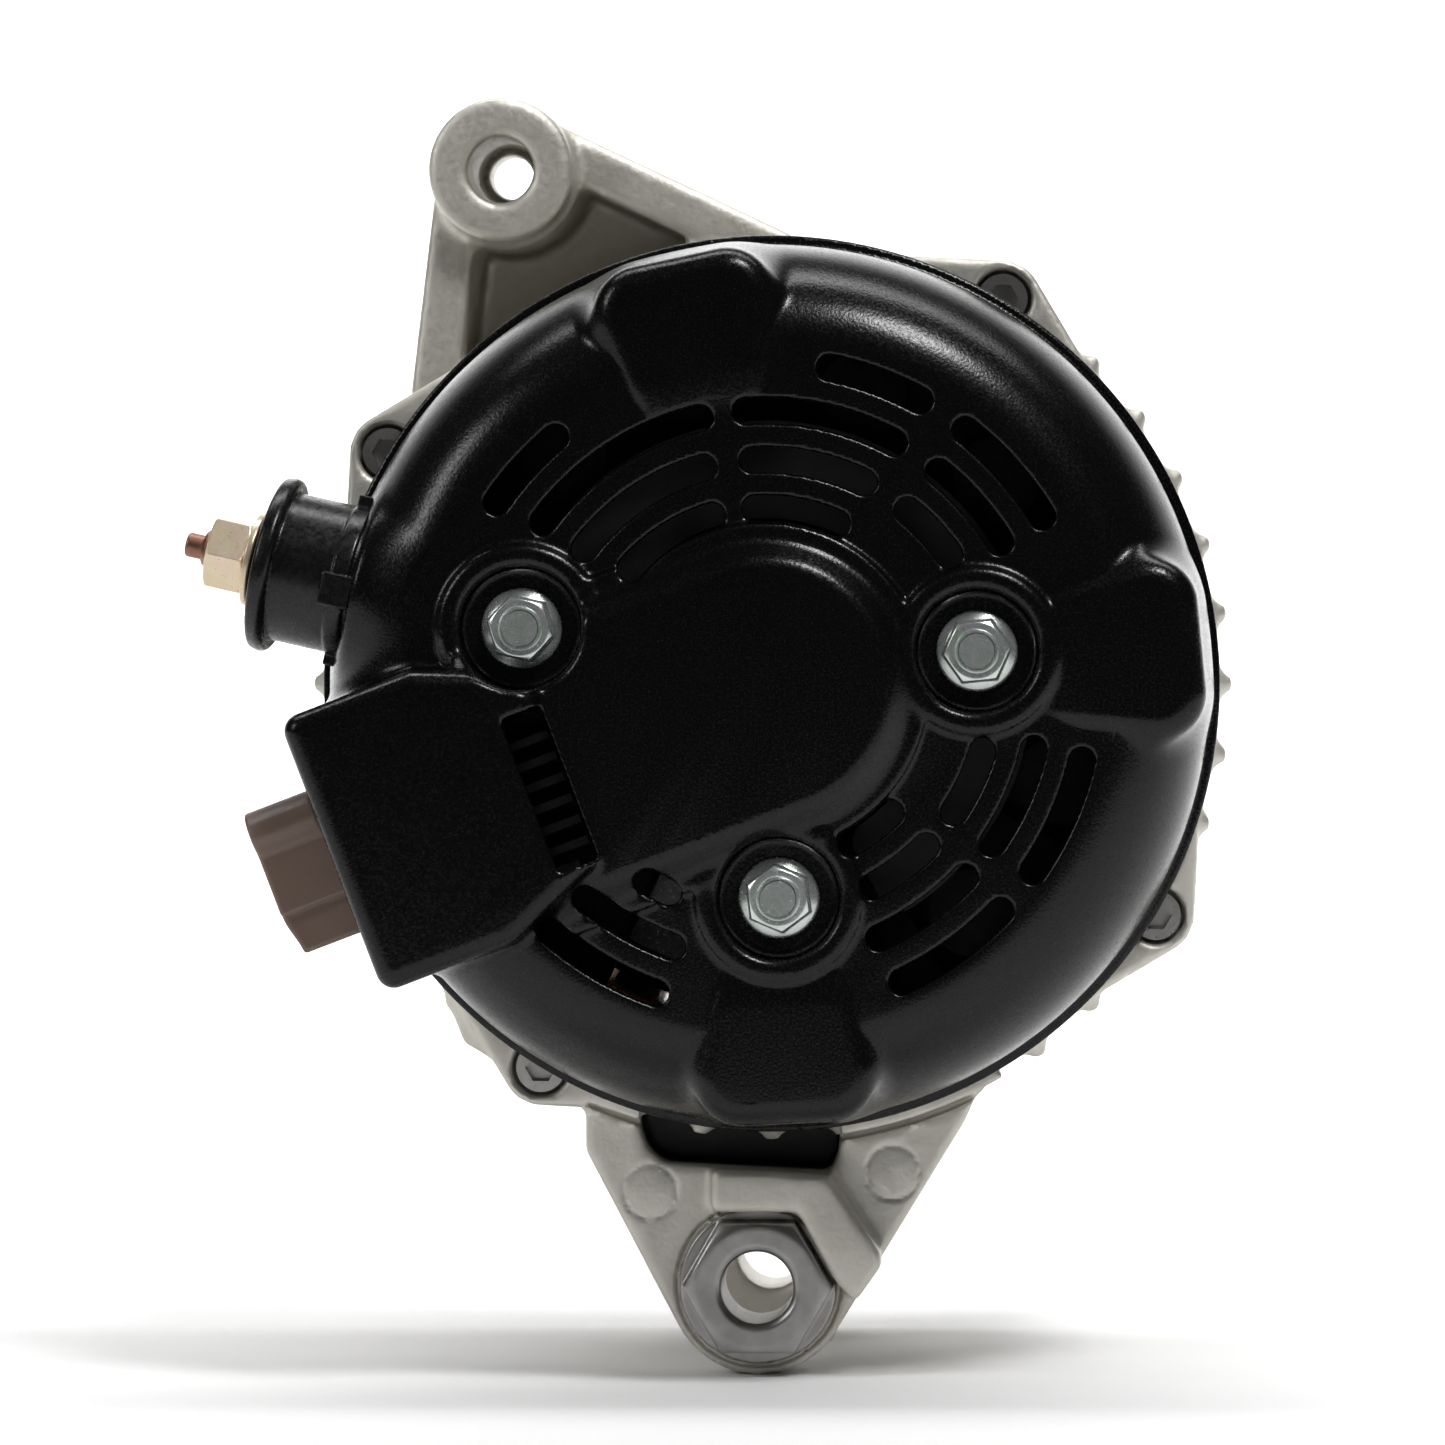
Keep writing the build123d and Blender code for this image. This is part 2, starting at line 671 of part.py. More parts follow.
for side, bearing, shoulder in (("front", FRONT_BEARING, 2.8), ("rear", REAR_BEARING, 2.3)):
    inner_edge = bearing["pitch"] - shoulder
    outer_edge = bearing["pitch"] + shoulder
    cage_half = bearing["ball"] + 0.8
    middle = (bearing["front"] + bearing["rear"]) / 2

    with BuildPart() as inner_race:
        with BuildSketch(Plane.XY):
            race_profile(bearing, bearing["bore"], inner_edge)
        revolve(axis=Axis.Y)
    save(inner_race.part, f"{side}_bearing_inner_race")

    with BuildPart() as outer_race:
        with BuildSketch(Plane.XY):
            race_profile(bearing, outer_edge, bearing["outer"])
        revolve(axis=Axis.Y)
    save(outer_race.part, f"{side}_bearing_outer_race")

    with BuildPart() as balls:
        with Locations(*ball_centres(bearing)):
            Sphere(bearing["ball"])
    save(balls.part, f"{side}_bearing_balls")

    with BuildPart() as cage:
        ring(bearing["pitch"] + 1.2, bearing["pitch"] - 1.2, middle + cage_half, middle - cage_half)
        for k in range(bearing["balls"]):
            with BuildSketch(radial_plane(bearing["pitch"] - 4, 360 * k / bearing["balls"])):
                with Locations((0, middle)):
                    Circle(bearing["ball"] + BALL_GAP)
            extrude(amount=8, mode=Mode.SUBTRACT)
    save(cage.part, f"{side}_bearing_cage")

    with BuildPart() as seals:
        ring(outer_edge, inner_edge + 0.2, bearing["front"] - 0.3, bearing["front"] - 0.9)
        ring(outer_edge, inner_edge + 0.2, bearing["rear"] + 0.9, bearing["rear"] + 0.3)
    save(seals.part, f"{side}_bearing_seals")

with BuildPart() as rear_bearing_sleeve:
    ring(SLEEVE_R, REAR_BEARING["outer"], REAR_BEARING["front"], REAR_BEARING["rear"])
save(rear_bearing_sleeve.part, "rear_bearing_sleeve")

with BuildPart() as bearing_retainer_plate:
    with BuildSketch(section(FRONT_BEARING["rear"])):
        Circle(30.5)
        Circle(14, mode=Mode.SUBTRACT)
        with PolarLocations(27, 4, start_angle=45):
            Circle(2, mode=Mode.SUBTRACT)
        with PolarLocations(33.5, 4, start_angle=0):
            Circle(7, mode=Mode.SUBTRACT)
    extrude(amount=2)
save(bearing_retainer_plate.part, "bearing_retainer_plate")

with BuildPart() as retainer_screws:
    with BuildSketch(section(-25)):
        with PolarLocations(27, 4, start_angle=45):
            Circle(2)
    extrude(amount=9)
    with BuildSketch(section(-34)):
        with PolarLocations(27, 4, start_angle=45):
            Circle(3.4)
            Rectangle(4.4, 0.9, mode=Mode.SUBTRACT)
            Rectangle(0.9, 4.4, mode=Mode.SUBTRACT)
    extrude(amount=2.2)
    with BuildSketch(section(-34)):
        with PolarLocations(27, 4, start_angle=45):
            Circle(3.4)
    extrude(amount=1)
save(retainer_screws.part, "retainer_screws")

# ---------------------------------------------------------------- rotor

with BuildPart() as rotor_shaft:
    with BuildSketch(Plane.XY):
        Polygon(
            (0, SHAFT_REAR),
            (SLEEVE_INNER_R - 0.6, SHAFT_REAR),
            (SLEEVE_INNER_R, SHAFT_REAR + 0.6),
            (SLEEVE_INNER_R, REAR_BEARING["rear"]),
            (REAR_BEARING["bore"], REAR_BEARING["rear"]),
            (REAR_BEARING["bore"], CLAW_REAR),
            (10, CLAW_REAR),
            (10, CLAW_FRONT),
            (11, CLAW_FRONT),
            (11, -34),
            (FRONT_BEARING["bore"], -34),
            (FRONT_BEARING["bore"], PULLEY_SEAT),
            (7, PULLEY_SEAT),
            (7, SHAFT_FRONT - 1),
            (6, SHAFT_FRONT),
            (0, SHAFT_FRONT),
            align=None,
        )
    revolve(axis=Axis.Y)
    with BuildSketch(section(SHAFT_FRONT)):
        hexagon(8)
    extrude(amount=7, mode=Mode.SUBTRACT)
save(rotor_shaft.part, "rotor_shaft")

FINGER_PITCH = 360 / POLE_FINGERS


def pole_claw(front, direction, first_finger):
    """A claw-pole half: disc, half core and eight tapering fingers that reach towards the other half."""

    def station(depth):
        return front - direction * depth

    middle = abs(front - STATOR_MID)
    with BuildPart() as claw:
        with BuildSketch(Plane.XY):
            Polygon(
                (10, station(0)),
                (ROTOR_R - 1.6, station(0)),
                (ROTOR_R, station(1.6)),
                (ROTOR_R, station(2 * middle - 1)),
                (ROTOR_R - 3.3, station(2 * middle - 1)),
                (39.5, station(CLAW_DISC)),
                (CORE_R, station(CLAW_DISC)),
                (CORE_R, station(middle)),
                (10, station(middle)),
                align=None,
            )
        revolve(axis=Axis.Y)
        for k in range(POLE_FINGERS):
            with BuildSketch(radial_plane(30, first_finger + FINGER_PITCH * (k + 0.5))):
                Polygon(
                    (-9, station(-1)),
                    (9, station(-1)),
                    (14.2, station(2 * middle)),
                    (-14.2, station(2 * middle)),
                    align=None,
                )
            extrude(amount=25, mode=Mode.SUBTRACT)
    return claw.part


save(pole_claw(CLAW_FRONT, 1, 0), "front_pole_claw")
save(pole_claw(CLAW_REAR, -1, FINGER_PITCH / 2), "rear_pole_claw")

with BuildPart() as coil_bobbin:
    ring(CORE_R + 1, CORE_R, CLAW_FRONT - CLAW_DISC, CLAW_REAR + CLAW_DISC)
    ring(38.5, CORE_R, CLAW_FRONT - CLAW_DISC, CLAW_FRONT - CLAW_DISC - 1)
    ring(38.5, CORE_R, CLAW_REAR + CLAW_DISC + 1, CLAW_REAR + CLAW_DISC)
save(coil_bobbin.part, "coil_bobbin")

with BuildPart() as field_coil:
    ring(38, CORE_R + 1, CLAW_FRONT - CLAW_DISC - 1, CLAW_REAR + CLAW_DISC + 1)
save(field_coil.part, "field_coil")


def fan(base, direction, inner, outer, height, blades):
    """Fan of curved blades on a plate; direction is +1 where the blades stand towards +Y."""
    plate = 1.5
    far_face = base + direction * plate
    with BuildPart() as wheel:
        ring(outer - 2, 15, max(base, far_face), min(base, far_face))
        with BuildSketch(section(max(base, base + direction * height))):
            for k in range(blades):
                start = 360 * k / blades + 4 * math.sin(2.1 * k)
                blade = RadiusArc(polar(inner, start), polar(outer, start + 17), 26, mode=Mode.PRIVATE)
                SlotArc(blade, 1.5)
        extrude(amount=height)
    return wheel.part


save(fan(CLAW_FRONT, 1, 33, 45.5, 9, 11), "front_fan")
save(fan(CLAW_REAR, -1, 30, 46, 9, 12), "rear_fan")

with BuildPart() as slip_ring_insulator:
    ring(RING_INNER_R, SLEEVE_INNER_R, -109, -129)
    ring(RING_R - 0.3, SLEEVE_INNER_R, RING_STATIONS[0] - RING_HALF, RING_STATIONS[1] + RING_HALF)
save(slip_ring_insulator.part, "slip_ring_insulator")

with BuildPart() as slip_rings:
    for station in RING_STATIONS:
        ring(RING_R, RING_INNER_R, station + RING_HALF, station - RING_HALF)
save(slip_rings.part, "slip_rings")

with BuildPart() as bearing_collar:
    ring(12, FRONT_BEARING["bore"], -PULLEY_HALF, DRIVE_FACE)
save(bearing_collar.part, "bearing_collar")

with BuildPart() as pulley:
    groove_stations = [(k - (GROOVES - 1) / 2) * GROOVE_PITCH for k in range(GROOVES)]
    crest_to_root = []
    for station in groove_stations:
        crest_to_root.append((PULLEY_R, station - 1.4))
        crest_to_root.append((PULLEY_R - 3, station - 0.3))
        crest_to_root.append((PULLEY_R - 3, station + 0.3))
        crest_to_root.append((PULLEY_R, station + 1.4))
    with BuildSketch(Plane.XY):
        Polygon(
            (FRONT_BEARING["bore"], -PULLEY_HALF),
            (15, -PULLEY_HALF),
            (16.5, -6),
            (21.5, -6),
            (22.5, -PULLEY_HALF),
            (PULLEY_R + 1, -PULLEY_HALF),
            (PULLEY_R + 1, -PULLEY_HALF + 1),
            *crest_to_root,
            (PULLEY_R + 1, PULLEY_HALF - 1),
            (PULLEY_R + 1, PULLEY_HALF),
            (PULLEY_RECESS_R + 1, PULLEY_HALF),
            (PULLEY_RECESS_R, PULLEY_HALF - 1),
            (PULLEY_RECESS_R, PULLEY_SEAT),
            (FRONT_BEARING["bore"], PULLEY_SEAT),
            align=None,
        )
    revolve(axis=Axis.Y)
save(pulley.part, "pulley")

with BuildPart() as pulley_nut:
    with BuildSketch(section(12)):
        hexagon(22)
    extrude(amount=12 - PULLEY_SEAT)
    ring(14.5, 7, PULLEY_SEAT + 2, PULLEY_SEAT)
    ring(7, 0, 13, PULLEY_SEAT, mode=Mode.SUBTRACT)
save(pulley_nut.part, "pulley_nut")

# ---------------------------------------------------------------- brush gear

for number, station in enumerate(RING_STATIONS, start=1):
    with BuildPart() as brush:
        with BuildSketch(brush_cross(BRUSH_INNER)):
            with Locations((0, -station)):
                Rectangle(BRUSH_ACROSS, BRUSH_AXIAL)
        extrude(amount=BRUSH_OUTER - BRUSH_INNER)
        ring(RING_R + 0.08, 0, station + RING_HALF, station - RING_HALF, mode=Mode.SUBTRACT)
    save(brush.part, f"brush_{number}")

    with BuildPart() as brush_spring:
        with BuildLine() as coil_path:
            Helix(
                pitch=1.6,
                height=CHANNEL_END - BRUSH_OUTER - 0.6,
                radius=1.75,
                center=around(BRUSH_OUTER + 0.3, BRUSH_ANGLE, station),
                direction=around(1, BRUSH_ANGLE, 0),
            )
        with BuildSketch(Plane(origin=coil_path.line @ 0, z_dir=coil_path.line % 0)):
            Circle(0.25)
        sweep()
    save(brush_spring.part, f"brush_spring_{number}")

with BuildPart() as brush_holder:
    with BuildSketch(brush_section(-110.5)):
        with Locations(((HOLDER_INNER + HOLDER_OUTER) / 2, 0)):
            Rectangle(HOLDER_OUTER - HOLDER_INNER, 13)
    extrude(amount=19)
    with BuildSketch(brush_section(-110.5)):
        for reach, across in HOLDER_SCREWS:
            with Locations((reach, across * 0.8)):
                Rectangle(7, 10)
    extrude(amount=3.5)
    with BuildSketch(brush_cross(HOLDER_INNER - 1)):
        for station in RING_STATIONS:
            with Locations((0, -station)):
                Rectangle(BRUSH_ACROSS + 2 * BRUSH_CLEAR, BRUSH_AXIAL + 2 * BRUSH_CLEAR)
    extrude(amount=CHANNEL_END - HOLDER_INNER + 1, mode=Mode.SUBTRACT)
    with BuildSketch(brush_section(-109)):
        with Locations(*HOLDER_SCREWS):
            Circle(1.6)
    extrude(amount=8, mode=Mode.SUBTRACT)
save(brush_holder.part, "brush_holder")

with BuildPart() as slip_ring_cover:
    ring(11, 9, -109.5, -130.5)
    ring(11, 0, -130.5, -131.5)
    with BuildSketch(brush_section(-109)):
        with Locations((10, 0)):
            Rectangle(12, 13.4)
    extrude(amount=24, mode=Mode.SUBTRACT)
save(slip_ring_cover.part, "slip_ring_cover")

with BuildPart() as brush_holder_screws:
    with BuildSketch(brush_section(-102)):
        with Locations(*HOLDER_SCREWS):
            Circle(1.6)
    extrude(amount=12)
    with BuildSketch(brush_section(-114)):
        with Locations(*HOLDER_SCREWS):
            Circle(2.9)
    extrude(amount=2)
save(brush_holder_screws.part, "brush_holder_screws")

# ---------------------------------------------------------------- regulator and plug socket

with BuildPart() as voltage_regulator:
    with BuildSketch(brush_section(-112)):
        with Locations((48, 0)):
            Rectangle(28, 32)
    extrude(amount=15)
    with BuildSketch(brush_section(-111)):
        with Locations(*REGULATOR_SCREWS):
            Circle(2)
    extrude(amount=20, mode=Mode.SUBTRACT)
save(voltage_regulator.part, "voltage_regulator")

with BuildPart() as regulator_heat_sink:
    with BuildSketch(brush_section(-127)):
        with Locations((43, 2.5)):
            Rectangle(24, 22)
    extrude(amount=4)
    with BuildSketch(brush_section(-131)):
        for k in range(6):
            with Locations((43, -4.8 + 3.2 * k)):
                Rectangle(24, 1.2)
    extrude(amount=6)
save(regulator_heat_sink.part, "regulator_heat_sink")

with BuildPart() as regulator_screws:
    with BuildSketch(brush_section(-102)):
        with Locations(*REGULATOR_SCREWS):
            Circle(2)
    extrude(amount=25)
    with BuildSketch(brush_section(-127)):
        with Locations(*REGULATOR_SCREWS):
            Circle(2.8)
    extrude(amount=2.4)
save(regulator_screws.part, "regulator_screws")

with BuildPart() as regulator_connector:
    with BuildSketch(brush_cross(PLUG_ROOT)):
        with Locations((PLUG_V, -PLUG_Y)):
            RectangleRounded(PLUG_WIDTH, PLUG_THICK, PLUG_CORNER)
    extrude(amount=PLUG_TIP - PLUG_ROOT)
    with BuildSketch(brush_cross(CAVITY_ROOT)):
        with Locations((PLUG_V, -PLUG_Y)):
            RectangleRounded(PLUG_WIDTH - 2 * PLUG_WALL, PLUG_THICK - 2 * PLUG_WALL, PLUG_CORNER - PLUG_WALL)
    extrude(amount=20, mode=Mode.SUBTRACT)
    with BuildSketch(brush_cross(PLUG_ROOT - 1)):
        for k in range(4):
            with Locations((PLUG_V + 4.2 * (k - 1.5), -PLUG_Y)):
                Rectangle(2.2, 0.8, mode=Mode.ADD)
    extrude(amount=6, mode=Mode.SUBTRACT)
save(regulator_connector.part, "regulator_connector")

with BuildPart() as connector_terminals:
    with BuildSketch(brush_cross(PLUG_ROOT)):
        for k in range(4):
            with Locations((PLUG_V + 4.2 * (k - 1.5), -PLUG_Y)):
                Rectangle(2.2, 0.8)
    extrude(amount=12)
save(connector_terminals.part, "connector_terminals")

# ---------------------------------------------------------------- rectifier

NEGATIVE_DIODES = [polar(44, angle) for angle in (-78, -48, -18, 40, 70, 100, 130)]
POSITIVE_DIODES = [polar(44, angle) for angle in (-48, -18, 12, 42, 72, 102, 132)]
DIODE_R = 6.3

with BuildPart() as rectifier_negative_plate:
    with BuildSketch(section(-107.5)):
        horseshoe(23.5, 56, -104, 172)
        with Locations(*STUD_SITES):
            Circle(SPACER_R + 0.2, mode=Mode.SUBTRACT)
        with Locations(*NEGATIVE_DIODES):
            Circle(DIODE_R, mode=Mode.SUBTRACT)
    extrude(amount=3)
save(rectifier_negative_plate.part, "rectifier_negative_plate")

with BuildPart() as rectifier_positive_plate:
    with BuildSketch(section(-115)):
        horseshoe(23.5, 56, -66, 152)
        with Locations(STUD_SITES[1]):
            Circle(SPACER_R + 0.2, mode=Mode.SUBTRACT)
        with Locations(*POSITIVE_DIODES):
            Circle(DIODE_R, mode=Mode.SUBTRACT)
        # Cooling cuts between the diodes
        for angle in (-33, -3, 27, 57, 87, 117):
            cut = Line(polar(38, angle), polar(52, angle), mode=Mode.PRIVATE)
            SlotArc(cut, 2.4, mode=Mode.SUBTRACT)
    extrude(amount=3)
save(rectifier_positive_plate.part, "rectifier_positive_plate")

with BuildPart() as rectifier_diodes:
    with BuildSketch(section(-107.5)):
        with Locations(*NEGATIVE_DIODES):
            Circle(DIODE_R)
    extrude(amount=5)
    with BuildSketch(section(-115)):
        with Locations(*POSITIVE_DIODES):
            Circle(DIODE_R)
    extrude(amount=5)
save(rectifier_diodes.part, "rectifier_diodes")

with BuildPart() as rectifier_terminal_block:
    with BuildSketch(section(-120.5)):
        horseshoe(24, 38, -62, 148)
        with Locations(STUD_SITES[1]):
            Circle(SPACER_R + 0.2, mode=Mode.SUBTRACT)
    extrude(amount=3)
    with BuildSketch(section(-118)):
        for angle in (-58, 60, 144):
            with Locations(polar(30, angle)):
                Circle(2.5)
    extrude(amount=2.5)
save(rectifier_terminal_block.part, "rectifier_terminal_block")

# ---------------------------------------------------------------- output terminal

with BuildPart() as output_insulator:
    with BuildSketch(output_plane(-OUTPUT_DEPTH)):
        Circle(OUTPUT_BODY_R)
    extrude(amount=OUTPUT_DEPTH)
    with BuildSketch(output_plane(-2.2)):
        Circle(OUTPUT_FLANGE_R)
    extrude(amount=2.2)
    with BuildSketch(output_plane(-1)):
        Circle(OUTPUT_WASHER_R)
    extrude(amount=1 + OUTPUT_SEAT)
    with BuildSketch(output_plane(-OUTPUT_DEPTH - 1)):
        Circle(OUTPUT_STUD_R)
    extrude(amount=OUTPUT_DEPTH + 4, mode=Mode.SUBTRACT)
save(output_insulator.part, "output_insulator")

with BuildPart() as output_bolt:
    with BuildSketch(output_plane(-OUTPUT_DEPTH - 3)):
        hexagon(9)
    extrude(amount=3)
    with BuildSketch(output_plane(-OUTPUT_DEPTH)):
        Circle(OUTPUT_STUD_R)
    extrude(amount=OUTPUT_DEPTH + OUTPUT_THREAD_END)
    with BuildSketch(output_plane(OUTPUT_THREAD_END)):
        Circle(OUTPUT_POINT_R)
    extrude(amount=OUTPUT_TIP - OUTPUT_THREAD_END)
save(output_bolt.part, "output_bolt")

with BuildPart() as output_washer:
    with BuildSketch(output_plane(OUTPUT_SEAT)):
        Circle(OUTPUT_WASHER_R)
        Circle(OUTPUT_STUD_R, mode=Mode.SUBTRACT)
    extrude(amount=1)
save(output_washer.part, "output_washer")

with BuildPart() as output_nut:
    with BuildSketch(output_plane(OUTPUT_SEAT + 1)):
        hexagon(10)
        Circle(OUTPUT_STUD_R, mode=Mode.SUBTRACT)
    extrude(amount=6)
save(output_nut.part, "output_nut")

# ---------------------------------------------------------------- rear cover

with BuildPart() as cover_studs:
    with BuildSketch(section(REAR_WALL_FRONT)):
        with Locations(*STUD_SITES):
            Circle(STUD_R)
    extrude(amount=36.5)
    with BuildSketch(section(REAR_FACE)):
        with Locations(*STUD_SITES):
            hexagon(2 * SPACER_R * 0.86)
    extrude(amount=REAR_FACE - DISH_FLOOR - COVER_WALL)
save(cover_studs.part, "cover_studs")


def shrunk(outline, amount):
    """The outline in the sketch, moved inward by that amount."""
    with BuildSketch(mode=Mode.PRIVATE) as area:
        Polygon(*outline, align=None)
        if amount > 0:
            offset(amount=-amount, kind=Kind.INTERSECTION, mode=Mode.REPLACE)
    add(area.sketch)


def cover_form(wall, seat):
    """Solid form of the rear cover, every face moved inward by wall, standing on the station seat."""
    side = COVER_SIDE_R - COVER_FLAT_R - wall
    drop = COVER_SHOULDER_Y - COVER_FACE - wall
    bulge = [
        (38, -BULGE_INNER_HALF),
        (BULGE_REACH, -BULGE_OUTER_HALF),
        (BULGE_REACH, BULGE_OUTER_HALF),
        (38, BULGE_INNER_HALF),
    ]
    with BuildPart() as form:
        with BuildSketch(Plane.XY):
            with BuildLine():
                shoulder = EllipticalCenterArc(
                    (COVER_FLAT_R, COVER_SHOULDER_Y), side, drop, start_angle=270, arc_size=90
                )
                Polyline(
                    shoulder @ 1,
                    (COVER_SIDE_R - wall, seat),
                    (0, seat),
                    (0, COVER_FACE + wall),
                    shoulder @ 0,
                )
            make_face()
        revolve(axis=Axis.Y)
        for angle in BULGE_ANGLES:
            with BuildSketch(turned_section(seat, angle)):
                shrunk(bulge, wall)
                Circle(COVER_SIDE_R - wall, mode=Mode.INTERSECT)
            extrude(amount=seat - COVER_FACE - wall)
        with BuildSketch(brush_section(seat)):
            Circle(PLATEAU_R - wall)
            with Locations((20, 0)):
                Rectangle(40 - 2 * wall, 2 * (PLATEAU_R - wall))
        extrude(amount=seat - PLATEAU_FACE - wall)
        with BuildSketch(brush_section(seat)):
            shrunk(BOX_OUTLINE, wall)
        extrude(amount=seat - BOX_FACE - wall)
        with BuildSketch(output_plane(-22)):
            Circle(OUTPUT_FLANGE_R + 0.8 - wall)
        extrude(amount=22 + OUTPUT_BOSS_END - wall)
    return form.part


cover_outside = cover_form(0, REAR_FACE)
cover_inside = cover_form(COVER_WALL, REAR_FACE + 1)

with BuildPart() as cover_cavity:
    add(cover_inside)
    with BuildSketch(section(DISH_FLOOR + COVER_WALL)):
        with Locations(*STUD_SITES):
            Circle(DISH_R + COVER_WALL)
    extrude(amount=20, mode=Mode.SUBTRACT)

with BuildPart() as rear_cover:
    add(cover_outside)
    # Rim flange against the rear frame
    ring(COVER_R, COVER_SIDE_R - 1, REAR_FACE, REAR_FACE - 2)
    # Nothing reaches past the seat on the frame
    split(bisect_by=section(REAR_FACE), keep=Keep.TOP)
    # Raised rings round the nut dishes
    with BuildSketch(section(COVER_FACE + 1)):
        with Locations(*STUD_SITES):
            Circle(CREST_R)
    extrude(amount=COVER_FACE + 1 - CREST_FACE)
    with BuildSketch(section(DISH_FLOOR)):
        with Locations(*STUD_SITES):
            Circle(DISH_R)
    extrude(amount=20, mode=Mode.SUBTRACT)
    add(cover_cavity.part, mode=Mode.SUBTRACT)
    # Ventilation slots
    with BuildSketch(section(COVER_FACE + COVER_WALL + 1)):
        for radius, start, end in COVER_SLOTS:
            SlotArc(CenterArc((0, 0), radius, start, end - start, mode=Mode.PRIVATE), SLOT_WIDTH)
    extrude(amount=10, mode=Mode.SUBTRACT)
    # Stud holes, and the window over the heat sink's fins
    with BuildSketch(section(DISH_FLOOR + COVER_WALL + 1)):
        with Locations(*STUD_SITES):
            Circle(STUD_R + 0.3)
    extrude(amount=10, mode=Mode.SUBTRACT)
    with BuildSketch(brush_section(-133)):
        with Locations((sum(FIN_WINDOW_U) / 2, sum(FIN_WINDOW_V) / 2)):
            Rectangle(FIN_WINDOW_U[1] - FIN_WINDOW_U[0], FIN_WINDOW_V[1] - FIN_WINDOW_V[0])
    extrude(amount=20, mode=Mode.SUBTRACT)
    # Notch for the plug socket, open to the frame so that the cover comes off
    with BuildSketch(brush_section(REAR_FACE + 1)):
        with Locations((70, PLUG_V)):
            Rectangle(24, PLUG_WIDTH + 0.8)
    extrude(amount=REAR_FACE + 1 - PLUG_Y + PLUG_THICK / 2 + 0.4, mode=Mode.SUBTRACT)
    # Hole for the output terminal's insulator
    with BuildSketch(output_plane(-25)):
        Circle(OUTPUT_BODY_R + 0.3)
    extrude(amount=40, mode=Mode.SUBTRACT)
save(rear_cover.part, "rear_cover")

with BuildPart() as rear_cover_nuts:
    with BuildSketch(section(DISH_FLOOR)):
        with Locations(*STUD_SITES):
            Circle(5.9)
    extrude(amount=1.2)
    with BuildSketch(section(DISH_FLOOR - 1.2)):
        with Locations(*STUD_SITES):
            hexagon(8)
    extrude(amount=3.8)
    with BuildSketch(section(DISH_FLOOR + 1)):
        with Locations(*STUD_SITES):
            Circle(STUD_R)
    extrude(amount=10, mode=Mode.SUBTRACT)
save(rear_cover_nuts.part, "rear_cover_nuts")
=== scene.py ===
"""Looks of a car alternator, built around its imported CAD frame. Shapes are worked in millimetres."""

import json
import math

import bpy
import numpy as np
import openvdb
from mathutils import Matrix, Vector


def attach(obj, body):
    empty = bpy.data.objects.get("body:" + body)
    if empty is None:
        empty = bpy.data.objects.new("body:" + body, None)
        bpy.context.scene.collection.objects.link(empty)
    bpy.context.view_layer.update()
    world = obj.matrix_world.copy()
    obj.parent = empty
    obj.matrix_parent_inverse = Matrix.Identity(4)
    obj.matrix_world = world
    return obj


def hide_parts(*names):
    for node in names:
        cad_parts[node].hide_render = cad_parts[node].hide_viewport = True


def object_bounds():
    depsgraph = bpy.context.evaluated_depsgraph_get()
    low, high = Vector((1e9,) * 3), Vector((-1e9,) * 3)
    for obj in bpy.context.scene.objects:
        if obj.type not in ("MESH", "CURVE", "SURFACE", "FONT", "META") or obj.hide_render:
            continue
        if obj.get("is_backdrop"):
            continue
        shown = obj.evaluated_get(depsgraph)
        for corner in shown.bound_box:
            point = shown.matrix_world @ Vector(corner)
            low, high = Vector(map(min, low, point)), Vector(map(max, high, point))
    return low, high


MM = 0.001
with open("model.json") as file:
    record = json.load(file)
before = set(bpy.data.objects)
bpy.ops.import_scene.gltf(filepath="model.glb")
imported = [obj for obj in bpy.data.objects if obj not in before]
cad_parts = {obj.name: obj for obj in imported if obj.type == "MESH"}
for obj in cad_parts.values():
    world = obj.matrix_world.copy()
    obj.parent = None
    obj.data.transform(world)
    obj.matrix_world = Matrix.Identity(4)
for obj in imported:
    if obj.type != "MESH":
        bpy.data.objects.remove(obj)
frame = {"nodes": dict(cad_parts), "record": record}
cad_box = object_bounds()

# ---------------------------------------------------------------- camera

AIM = (-7.08, -106.0, -5.63)
CAMERA_PLACE = (45.1, -1404.0, 19.4)
FOCAL_LENGTH = 222.7

camera_data = bpy.data.cameras.new("camera")
camera_data.sensor_width = 36.0
camera_data.lens = FOCAL_LENGTH
camera = bpy.data.objects.new("camera", camera_data)
bpy.context.scene.collection.objects.link(camera)
camera.location = [value * MM for value in CAMERA_PLACE]
sight = Vector(AIM) * MM - camera.location
camera.rotation_euler = sight.to_track_quat("-Z", "Y").to_euler()
bpy.context.scene.camera = camera

# ---------------------------------------------------------------- finishes


